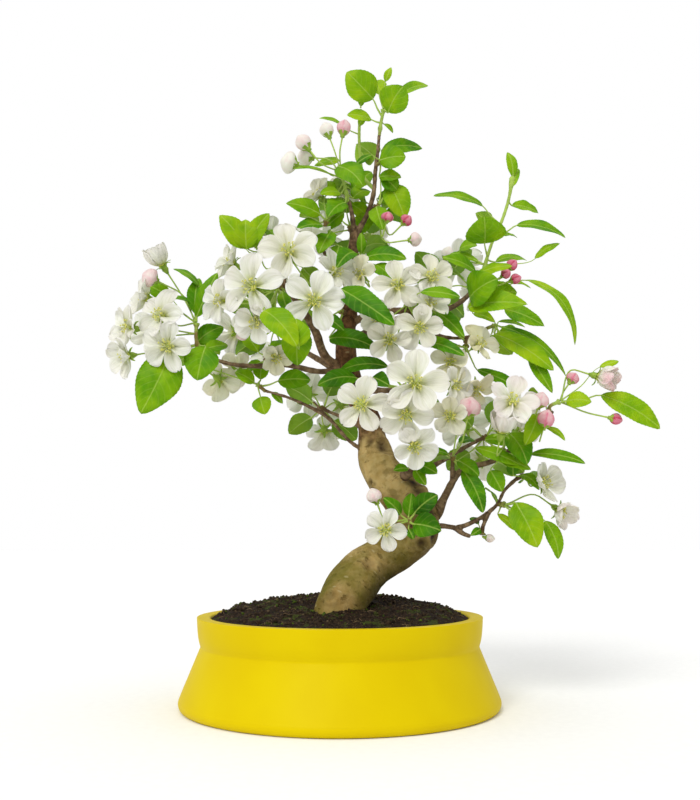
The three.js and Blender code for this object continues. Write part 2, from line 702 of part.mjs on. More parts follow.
      [70, 194, -36, 45, 0, 30, 22, 1],
    ],
    buds: [],
  },
  low_front: {
    stem: [[42.5, 108, -20], [42, 110, -26]],
    leaves: [
      [37, 114, -26, 27, 124, -32, 8, 78, 1],
      [42, 113, -24, 44, 127, -22, 9, 82, 1],
      [46, 115, -26, 60, 126, -30, 12, 74, 1],
      [45, 108, -28, 62, 104, -36, 15, 80, 1],
    ],
    blooms: [],
    lone: [[28, 105, -46, -10, -5, 29, 12, 1]],
    buds: [[23, 120, -36, 19, 130, -38, 9, 1]],
  },
  low_arm: {
    stem: [[97, 120, -6], [101, 120, -12]],
    leaves: [
      [108, 121, -16, 121, 94, -24, 19, 84, 1],
      [104, 117, -16, 115, 99, -18, 8, 60, 1],
      [126, 110, -6, 134, 87, -8, 10, 66, 1],
    ],
    blooms: [],
    lone: [[134, 117, -8, 40, -30, 28, 48, 1]],
    buds: [],
  },
  low_arm_tip: {
    stem: [[108.5, 135.5, -4], [114, 138, -6]],
    leaves: [
      [111, 138, -8, 123, 129, -14, 7, 60, 1, 0.22],
      [107, 138, -8, 107, 150, -14, 8, 75, 0],
      [112, 134, 4, 124, 138, 18, 13, -30, 1],
    ],
    blooms: [],
    lone: [[124, 133, -10, 35, 10, 31, 40, 1]],
    buds: [],
  },
  low_arm_spur: {
    stem: [[87.6, 106.4, -6], [87, 101.5, -7]],
    leaves: [[86, 105, -8, 80, 101, -12, 5, 70, 1]],
    blooms: [],
    buds: [[88, 100, -8, 95, 99, -10, 5, 1]],
  },
  back_left: {
    stem: [[-39, 228.5, 47.5], [-44, 234, 52]],
    leaves: [
      [-48, 226, 56, -66, 214, 62, 17, -70, 0],
      [-30, 234, 60, -14, 238, 72, 17, -60, 1],
      [-52, 240, 50, -74, 246, 44, 16, -30, 1],
      [-38, 222, 56, -28, 208, 62, 15, -70, 0],
    ],
    blooms: [
      [-56, 248, 66, 210, 15, 34, 12, 1],
      [-34, 252, 56, 170, 40, 33, 15, 1],
      [-66, 228, 60, 225, -5, 32, 15, 0],
      [-42, 216, 64, 175, -25, 32, 15, 0],
    ],
    buds: [[-30, 242, 72, -26, 250, 78, 8, 1]],
  },
  back_right: {
    stem: [[61.2, 253.4, 43.5], [66, 259, 46]],
    leaves: [
      [60, 264, 50, 48, 280, 56, 17, -60, 1],
      [66, 250, 50, 74, 234, 60, 17, -60, 1],
      [70, 266, 44, 84, 282, 40, 16, -30, 1],
      [56, 250, 52, 40, 244, 62, 16, -65, 0],
    ],
    blooms: [
      [74, 272, 60, 165, 20, 34, 12, 1],
      [54, 262, 64, 185, 5, 33, 15, 1],
      [84, 256, 58, 135, 0, 32, 15, 0],
    ],
    buds: [[66, 274, 40, 70, 284, 38, 8, 1]],
  },
  back_low: {
    stem: [[85.2, 159.5, 43.6], [91, 162, 46]],
    leaves: [
      [80, 152, 50, 66, 142, 56, 16, -60, 0],
      [98, 152, 46, 114, 140, 48, 17, -60, 1],
      [94, 170, 44, 104, 186, 38, 16, -30, 1],
      [82, 168, 46, 70, 180, 52, 15, -60, 0],
    ],
    blooms: [
      [98, 174, 54, 170, 20, 33, 12, 1],
      [78, 166, 62, 200, 0, 32, 15, 0],
      [110, 164, 48, 130, 5, 30, 18, 1],
      [88, 148, 60, 180, -10, 30, 18, 0],
    ],
    buds: [],
  },
  back_top: {
    stem: [[7.2, 291, 29.4], [6, 297, 32]],
    leaves: [
      [0, 302, 40, -14, 314, 48, 16, -60, 1],
      [14, 298, 36, 30, 304, 42, 16, -60, 1],
      [6, 288, 38, 2, 270, 48, 17, -80, 0],
      [4, 306, 30, 4, 324, 26, 14, -60, 1],
    ],
    blooms: [
      [-8, 292, 46, 205, 10, 31, 15, 0],
      [18, 290, 50, 165, 0, 31, 15, 1],
    ],
    buds: [[8, 312, 40, 10, 322, 44, 8, 1]],
  },
  back_mid: {
    stem: [[-7.2, 177.6, 39.4], [-12, 180, 43]],
    leaves: [
      [-18, 184, 46, -34, 194, 52, 16, -60, 1],
      [-4, 172, 48, 10, 160, 56, 16, -65, 0],
      [-18, 174, 46, -32, 164, 52, 15, -60, 1],
      [-8, 188, 42, 0, 204, 44, 15, -60, 0],
    ],
    blooms: [
      [-20, 188, 60, 200, 10, 32, 12, 1],
      [0, 182, 60, 160, 0, 32.5, 15, 0],
      [-10, 166, 58, 175, -25, 29, 18, 1],
    ],
    buds: [],
  },
};

// ---------------------------------------------------------------- wood
// Old bark bulges and twists a little, and the root flares into three buttresses.
function barkRelief(angle, share) {
  const flare = 0.1 * Math.max(0, 1 - share / 0.14) * Math.cos(3 * angle + 0.6);
  return flare + 0.035 * Math.sin(2 * angle + 26 * share) + 0.03 * Math.sin(3 * angle - 40 * share);
}

function branchSolid([startR, endR, places], grow) {
  const points = places.map(seen);
  const length = new THREE.CatmullRomCurve3(points).getLength();
  const steps = Math.max(2, Math.min(9, Math.round(length / 17)));
  const sides = startR > 3.5 ? 6 : startR > 1.8 ? 5 : 4;
  return tube(points, [startR, endR], sides, { steps, grow });
}

function woodSolid(grow) {
  const trunk = tube(TRUNK.map(seen), TRUNK.map((row) => row[3]), TRUNK_SIDES, {
    steps: TRUNK_STEPS,
    relief: barkRelief,
    grow,
  });
  return joined([trunk, ...Object.values(BRANCHES).map((b) => branchSolid(b, grow))]);
}

const wood = woodSolid(0);
const woodRoom = woodSolid(GAP);

// ---------------------------------------------------------------- one spray
// A spray's shoot, from where it stands clear of the wood.
function shootOf(spray) {
  const curve = new THREE.CatmullRomCurve3(spray.stem.map(seen));
  const length = curve.getLength();
  const place = (s) => curve.getPointAt(Math.min(1, s / length));
  const touches = (s) => {
    const foot = tube([place(s), place(s + 0.6)], [0.9 * KNOB_R, 0.9 * KNOB_R], 4, { grow: GAP });
    return !foot.intersect(wood).isEmpty();
  };
  let foot = 0;
  while (foot < length - 2 && touches(foot)) foot += 0.4;
  const count = Math.max(1, Math.round((length - foot) / 14));
  const places = Array.from({ length: count + 1 }, (_, i) => place(foot + ((length - foot) * i) / count));
  return new THREE.CatmullRomCurve3(places);
}

// Where a stalk starts: near its shoot's skin, on the side that it grows towards.
function startOf(shoot, share, towards) {
  const from = shoot.getPoint(share);
  const reach = share === 0 || share === 1 ? 0.4 * KNOB_R : 0.3;
  return from.addScaledVector(towards.clone().sub(from).normalize(), reach);
}

// The shoot, swollen by old bud scars at both ends, its flower stalks with their calyxes, its lone
// blooms, and its buds. order is the spray's place in the list.
function stemsOf(spray, shoot, order, grow) {
  const lone = spray.lone ?? [];
  const tip = shoot.getPoint(1).addScaledVector(shoot.getTangent(1), 0.8 * KNOB_R);
  const radii = shoot.points.map((_, i) => (i === 0 || i === shoot.points.length - 1 ? KNOB_R : SHOOT_R));
  radii[0] *= 0.9;
  const parts = [tube(shoot.points, radii, 4, { grow, apex: tip })];
  for (const row of [...spray.blooms, ...lone]) {
    const out = facing(row[3], row[4]);
    const clear = lone.includes(row) ? 0.4 : 1.3;
    const base = seen(row).addScaledVector(out, -CALYX_LENGTH - clear);
    parts.push(stalked(startOf(shoot, row[7], base), base, out, CALYX_LENGTH, CALYX_R, CALYX, 3, grow));
  }
  lone.forEach((row, j) => parts.push(corolla(row, order + 3 * j, grow)));
  for (const row of spray.buds) {
    const base = seen(row);
    const out = seen(row.slice(3)).sub(base);
    const length = out.length();
    out.normalize();
    parts.push(stalked(startOf(shoot, row[7], base), base, out, length, row[6] / 2, BUD, 4, grow));
  }
  return joined(parts);
}

function leavesOf(spray, shoot, grow) {
  return joined(spray.leaves.map((row) => leaf(row, startOf(shoot, row[8], seen(row)), grow)));
}

// Only the stalks of a spray's leaves.
function petiolesOf(spray, shoot, grow) {
  const stalk = (row) => tube([startOf(shoot, row[8], seen(row)), seen(row)], [STEM_R, STEM_R], 3, { grow });
  return joined(spray.leaves.map(stalk));
}

// ---------------------------------------------------------------- pot, screens and soil
function lathe(profile) {
  const points = profile.map(([r, z]) => new THREE.Vector2(r, z));
  return solidOf(new THREE.LatheGeometry(points, POT_SEGMENTS).rotateX(Math.PI / 2));
}

const INNER_WALL = [
  [MOUTH_R - 1, WAIST_Z],
  [BELLY_R - 11, 15],
  [BELLY_R - 13, FLOOR_Z],
];

function post(x, radius, low, high) {
  const round = new THREE.CylinderGeometry(radius, radius, high - low, 16).rotateX(Math.PI / 2);
  return solidOf(round.translate(x, 0, (low + high) / 2));
}

function potSolid() {
  const outside = [
    [0, 0],
    [FOOT_R, 0],
    [FOOT_R + 2.4, 1.6],
    [BELLY_R, 5],
    [FOOT_R - 1.6, 15],
    [WAIST_R + 2.2, 28],
    [WAIST_R, WAIST_Z],
    [WAIST_R + 1, 43],
    [RIM_R, 50],
    [RIM_R - 0.6, POT_HEIGHT],
    [MOUTH_R + 0.4, POT_HEIGHT],
  ];
  const pot = lathe([...outside, ...INNER_WALL, [0, FLOOR_Z]]);
  return [-DRAIN_X, DRAIN_X].reduce((body, x) => body.subtract(post(x, DRAIN_R, -5, FLOOR_Z + 5)), pot);
}

const box = (w, d, h, x, y, z) => solidOf(new THREE.BoxGeometry(w, d, h).translate(x, y, z));

// A plastic mesh lies over each drain hole.
function screenSolid(x) {
  const z = FLOOR_Z + GAP + SCREEN_T / 2;
  const rows = [-1, 1].map((i) => (i * SCREEN_SIDE) / 6);
  const holes = rows.flatMap((i) => rows.map((j) => box(SCREEN_HOLE, SCREEN_HOLE, 4, x + i, j, z)));
  return box(SCREEN_SIDE, SCREEN_SIDE, SCREEN_T, x, 0, z).subtract(joined(holes));
}

// Soil fills the pot down to the drain screens and mounds towards the trunk, with a crumbly top.
function soilTop(r, x, y) {
  const mound = SOIL_MOUND * (1 - Math.min(1, r / MOUTH_R) ** 2) ** 0.6 * (1 + (SOIL_LEAN * y) / MOUTH_R);
  const crumbs = Math.sin(0.61 * x + 1.3) * Math.sin(0.53 * y + 0.4) + 0.6 * Math.sin(1.13 * x - 0.9 * y);
  return SOIL_EDGE_Z + mound + CRUMB * crumbs * Math.min(1, (MOUTH_R - r) / 6);
}

function soilSolid() {
  const walls = INNER_WALL.map(([r, z]) => [r - GAP, z]);
  const floor = FLOOR_Z + SCREEN_T + 2 * GAP;
  walls[walls.length - 1][1] = floor;
  const topRings = [70, 58, 44, 29].map((r) => [r, null]);
  const rings = [...walls.reverse(), [MOUTH_R - GAP, SOIL_EDGE_Z], ...topRings];
  const points = [];
  const faces = [];
  rings.forEach(([r, z], i) => {
    for (let k = 0; k < POT_SEGMENTS; k++) {
      const angle = (2 * Math.PI * k) / POT_SEGMENTS;
      const [x, y] = [r * Math.cos(angle), r * Math.sin(angle)];
      points.push(new THREE.Vector3(x, y, z ?? soilTop(r, x, y)));
      const a = i * POT_SEGMENTS + k;
      const b = i * POT_SEGMENTS + ((k + 1) % POT_SEGMENTS);
      if (i > 0) faces.push([a - POT_SEGMENTS, b - POT_SEGMENTS, a], [b - POT_SEGMENTS, b, a]);
    }
  });
  const [under, over] = [points.length, points.length + 1];
  points.push(new THREE.Vector3(0, 0, floor), new THREE.Vector3(0, 0, SOIL_EDGE_Z + SOIL_MOUND));
  const top = (rings.length - 1) * POT_SEGMENTS;
  for (let k = 0; k < POT_SEGMENTS; k++) {
    const next = (k + 1) % POT_SEGMENTS;
    faces.push([under, next, k], [over, top + k, top + next]);
  }
  return closed(points, faces);
}

// ---------------------------------------------------------------- assembly
const finish = (color, roughness) => new THREE.MeshStandardMaterial({ color, roughness, metalness: 0 });
const GLAZE = finish(0xe8cf06, 0.45);
const PLASTIC = finish(0x2b2b2b, 0.6);
const SOIL = finish(0x2a2018, 0.95);
const BARK = finish(0x8a7350, 0.8);
const LEAF = finish(0x5fa31c, 0.5);
const PETAL = finish(0xf7f5ec, 0.55);

const group = new THREE.Group();

function add(name, solid, material) {
  const { numProp, vertProperties, triVerts } = solid.getMesh();
  const positions = new Float32Array((vertProperties.length / numProp) * 3);
  for (let i = 0; i < positions.length / 3; i++) {
    positions.set(vertProperties.subarray(i * numProp, i * numProp + 3), i * 3);
  }
  const geometry = new THREE.BufferGeometry();
  geometry.setAttribute("position", new THREE.BufferAttribute(positions, 3));
  geometry.setIndex(new THREE.BufferAttribute(triVerts, 1));
  geometry.computeVertexNormals();
  const mesh = new THREE.Mesh(geometry, material);
  mesh.name = name;
  group.add(mesh);
}

const sprays = Object.entries(SPRAYS);
const shoots = sprays.map(([, spray]) => shootOf(spray));

// Stalks stand clear of the wood and of the sprays before them.
const stems = [];
const stemRooms = [];
sprays.forEach(([, spray], i) => {
  stems.push(stemsOf(spray, shoots[i], i, 0).subtract(joined([woodRoom, ...stemRooms])));
  stemRooms.push(stemsOf(spray, shoots[i], i, GAP));
});
const allStemRoom = joined(stemRooms);

// Blooms that touch are one body; each keeps clear of wood and stalks.
const corollas = sprays.flatMap(([, spray], i) => spray.blooms.map((row, j) => [row, 7 * i + j]));
const petiolesRoom = joined(sprays.map(([, spray], i) => petiolesOf(spray, shoots[i], GAP)));
const petioles = joined(sprays.map(([, spray], i) => petiolesOf(spray, shoots[i], 0.1)));
const blossoms = joined(corollas.map(([row, index]) => corolla(row, index, 0)))
  .subtract(woodRoom)
  .subtract(allStemRoom)
  .subtract(petiolesRoom);
const blossomRoom = joined(corollas.map(([row, index]) => corolla(row, index, GAP))).subtract(petioles);

// Blades bend clear of blooms, wood and other sprays: what would cross is cut back.
let foliageRoom = blossomRoom.add(woodRoom);
const foliage = sprays.map(([name, spray], i) => {
  const otherStems = joined(stemRooms.filter((_, j) => j !== i));
  const blades = leavesOf(spray, shoots[i], 0).subtract(foliageRoom).subtract(otherStems);
  foliageRoom = foliageRoom.add(leavesOf(spray, shoots[i], GAP));
  return [name, bodiesOf(stems[i].add(blades), 0)[0]];
});

add("pot", potSolid(), GLAZE);
add("drain_screen_left", screenSolid(-DRAIN_X), PLASTIC);
add("drain_screen_right", screenSolid(DRAIN_X), PLASTIC);
add("soil", soilSolid().subtract(woodRoom), SOIL);
add("trunk_and_branches", wood, BARK);
foliage.forEach(([name, body]) => add("spray_" + name, body, LEAF));
bodiesOf(blossoms, 60).forEach((body, i) => add("blossoms_" + String(i + 1).padStart(2, "0"), body, PETAL));

export default group;
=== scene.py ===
"""A crabapple bonsai in blossom in a low glazed pot: its bark, soil, leaves, blossoms and buds."""
import functools
import math

import bpy
import numpy as np
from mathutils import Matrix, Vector


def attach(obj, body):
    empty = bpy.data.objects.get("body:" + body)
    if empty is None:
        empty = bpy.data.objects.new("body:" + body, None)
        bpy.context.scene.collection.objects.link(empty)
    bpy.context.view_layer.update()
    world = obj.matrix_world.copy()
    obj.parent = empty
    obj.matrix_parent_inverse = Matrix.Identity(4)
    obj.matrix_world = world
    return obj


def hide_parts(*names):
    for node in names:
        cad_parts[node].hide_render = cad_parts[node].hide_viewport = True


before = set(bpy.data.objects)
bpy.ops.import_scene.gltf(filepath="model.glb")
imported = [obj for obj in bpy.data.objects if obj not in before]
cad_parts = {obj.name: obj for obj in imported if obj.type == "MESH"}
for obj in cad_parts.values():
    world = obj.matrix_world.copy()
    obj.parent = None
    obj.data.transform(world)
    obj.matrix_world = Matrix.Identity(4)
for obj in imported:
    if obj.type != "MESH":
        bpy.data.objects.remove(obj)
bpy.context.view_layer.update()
bpy.context.scene.view_settings.view_transform = "Standard"

MM = 0.001
AWAY = 600.0  # mm from EYE to the trunk's plane
EYE = np.array([6.0, -AWAY, 105.0])  # mm, the place that the tree is composed for
GAZE = np.array([6.0, 0.0, 185.0])


# ---------------------------------------------------------------- the tree's plan, in mm
# Places are [x, z, depth]: x and z on the trunk's plane, and how far the place then moves
# back along the line from EYE. Trunk: [x, z, depth, radius], from the root to the fork.
TRUNK = [
    [-9, 26, -36, 9], [-4.5, 44, -30, 12], [-1, 56, -25, 13.4], [3, 63.5, -20.5, 14.4],
    [7.5, 70.5, -16, 14.8], [14, 78, -11.5, 14.2], [24.5, 86, -8.5, 12.6], [37, 93.5, -7, 12.2],
    [46.5, 102, -6, 12.8], [46, 113, -5, 13.2], [38, 124, -3, 13.6], [30, 134, -1, 13.2],
    [23, 145, 2, 11.6], [20.5, 156, 4, 9.6], [18.5, 167, 5, 8.2], [13.5, 181, 4, 7.3],
    [8, 195, 2, 7], [4, 210, 0, 6.6], [3.5, 227, -1, 5.7], [6, 243, 0, 4.7],
    [7, 262, 1, 3.8], [8, 279, 1, 3.2], [9, 293, 0, 2.7],
]
# Branches: [radius at the start, radius at the end, places].
BRANCHES = {
    "left_arm": [2.1, 1.2, [[3, 205, 2], [-12, 203, -3], [-36, 207.5, -8], [-52, 206.5, -12],
        [-72, 208.5, -17], [-90, 216, -23]]],
    "left_twig": [1.3, 0.9, [[16, 152, 2], [6, 159, -2], [-8, 174, -3], [-20, 181, -3], [-34, 187, -3],
        [-48, 191, -2]]],
    "left_twig_side": [0.8, 0.7, [[-6, 172.5, -3], [-11, 178, -4], [-17, 184, -5]]],
    "left_riser": [3.1, 1.4, [[4, 203, 0], [-9, 212, -5], [-16, 229, -10], [-27, 247, -18],
        [-36, 260, -22], [-32, 273, -15]]],
    "left_top": [1.8, 1.1, [[7, 260, 0], [-6, 272, -3], [-14, 288, -4]]],
    "leader_left": [1.8, 1.3, [[8, 285, 0], [8, 300, 0], [6.5, 309, 0], [5, 315, 0]]],
    "leader_right": [1.9, 1.1, [[8, 284, 0], [12, 295, 0], [17, 305, 0], [21, 318, 0], [22.5, 335, 0],
        [24, 347, 0], [25, 359, 0]]],
    "right_arm": [2.4, 1.4, [[5, 234, 0], [22, 240, -6], [40, 242, -12], [58, 240, -14], [72, 245, -14],
        [82, 253, -14], [90, 264, -12]]],
    "right_arm_fork": [1.6, 1.1, [[40, 242, -12], [52, 231, -12], [66, 225, -10], [80, 225, -10],
        [93, 231, -10]]],
    "middle": [2.6, 1.4, [[10, 190, 0], [20, 191, -16], [29, 191, -28], [38, 191, -36]]],
    "middle_low": [2.0, 1.3, [[36, 134, -8], [42, 139, -16], [45, 145, -22]]],
    "elbow_front": [2.0, 1.5, [[44, 106, -8], [42.5, 108, -20]]],
    "low_fork": [2.5, 1.2, [[48, 106, -5], [58, 112.5, -6], [64.4, 124.6, -8], [69, 133.2, -9],
        [72.5, 138.5, -10], [78, 142.5, -11], [90, 145.3, -13], [101, 150, -14], [112, 160, -16],
        [124, 170, -18], [133, 178, -18]]],
    "low_fork_spur": [1.6, 1.4, [[70.5, 134.5, -9.5], [69.4, 139, -10.5], [69.5, 144, -11.5]]],
    "low_arm": [1.6, 1.1, [[50, 106, -4], [62, 107, -4], [72, 106, -4], [82, 109.5, -4], [91, 115, -5],
        [97, 120.5, -6], [101, 128, -5], [109, 136, -4]]],
    "low_arm_stub": [1.5, 1.3, [[71, 106, -4], [75, 102.5, -4], [80, 100.5, -4]]],
    "low_arm_spur": [1.3, 1.3, [[91, 115, -5], [87.5, 106, -6]]],
    "back_left": [2.7, 1.2, [[8, 196, 4], [-6, 206, 24], [-24, 217, 38], [-40, 229, 48]]],
    "back_right": [2.4, 1.2, [[5, 222, 2], [24, 232, 22], [46, 242, 36], [62, 254, 44]]],
    "back_low": [2.8, 1.2, [[36, 128, 4], [50, 139, 26], [68, 150, 38], [86, 160, 44]]],
    "back_top": [1.9, 1.1, [[7, 262, 2], [9, 276, 18], [7, 292, 30]]],
    "back_mid": [2.2, 1.1, [[18, 165, 8], [6, 172, 26], [-8, 178, 40]]],
}
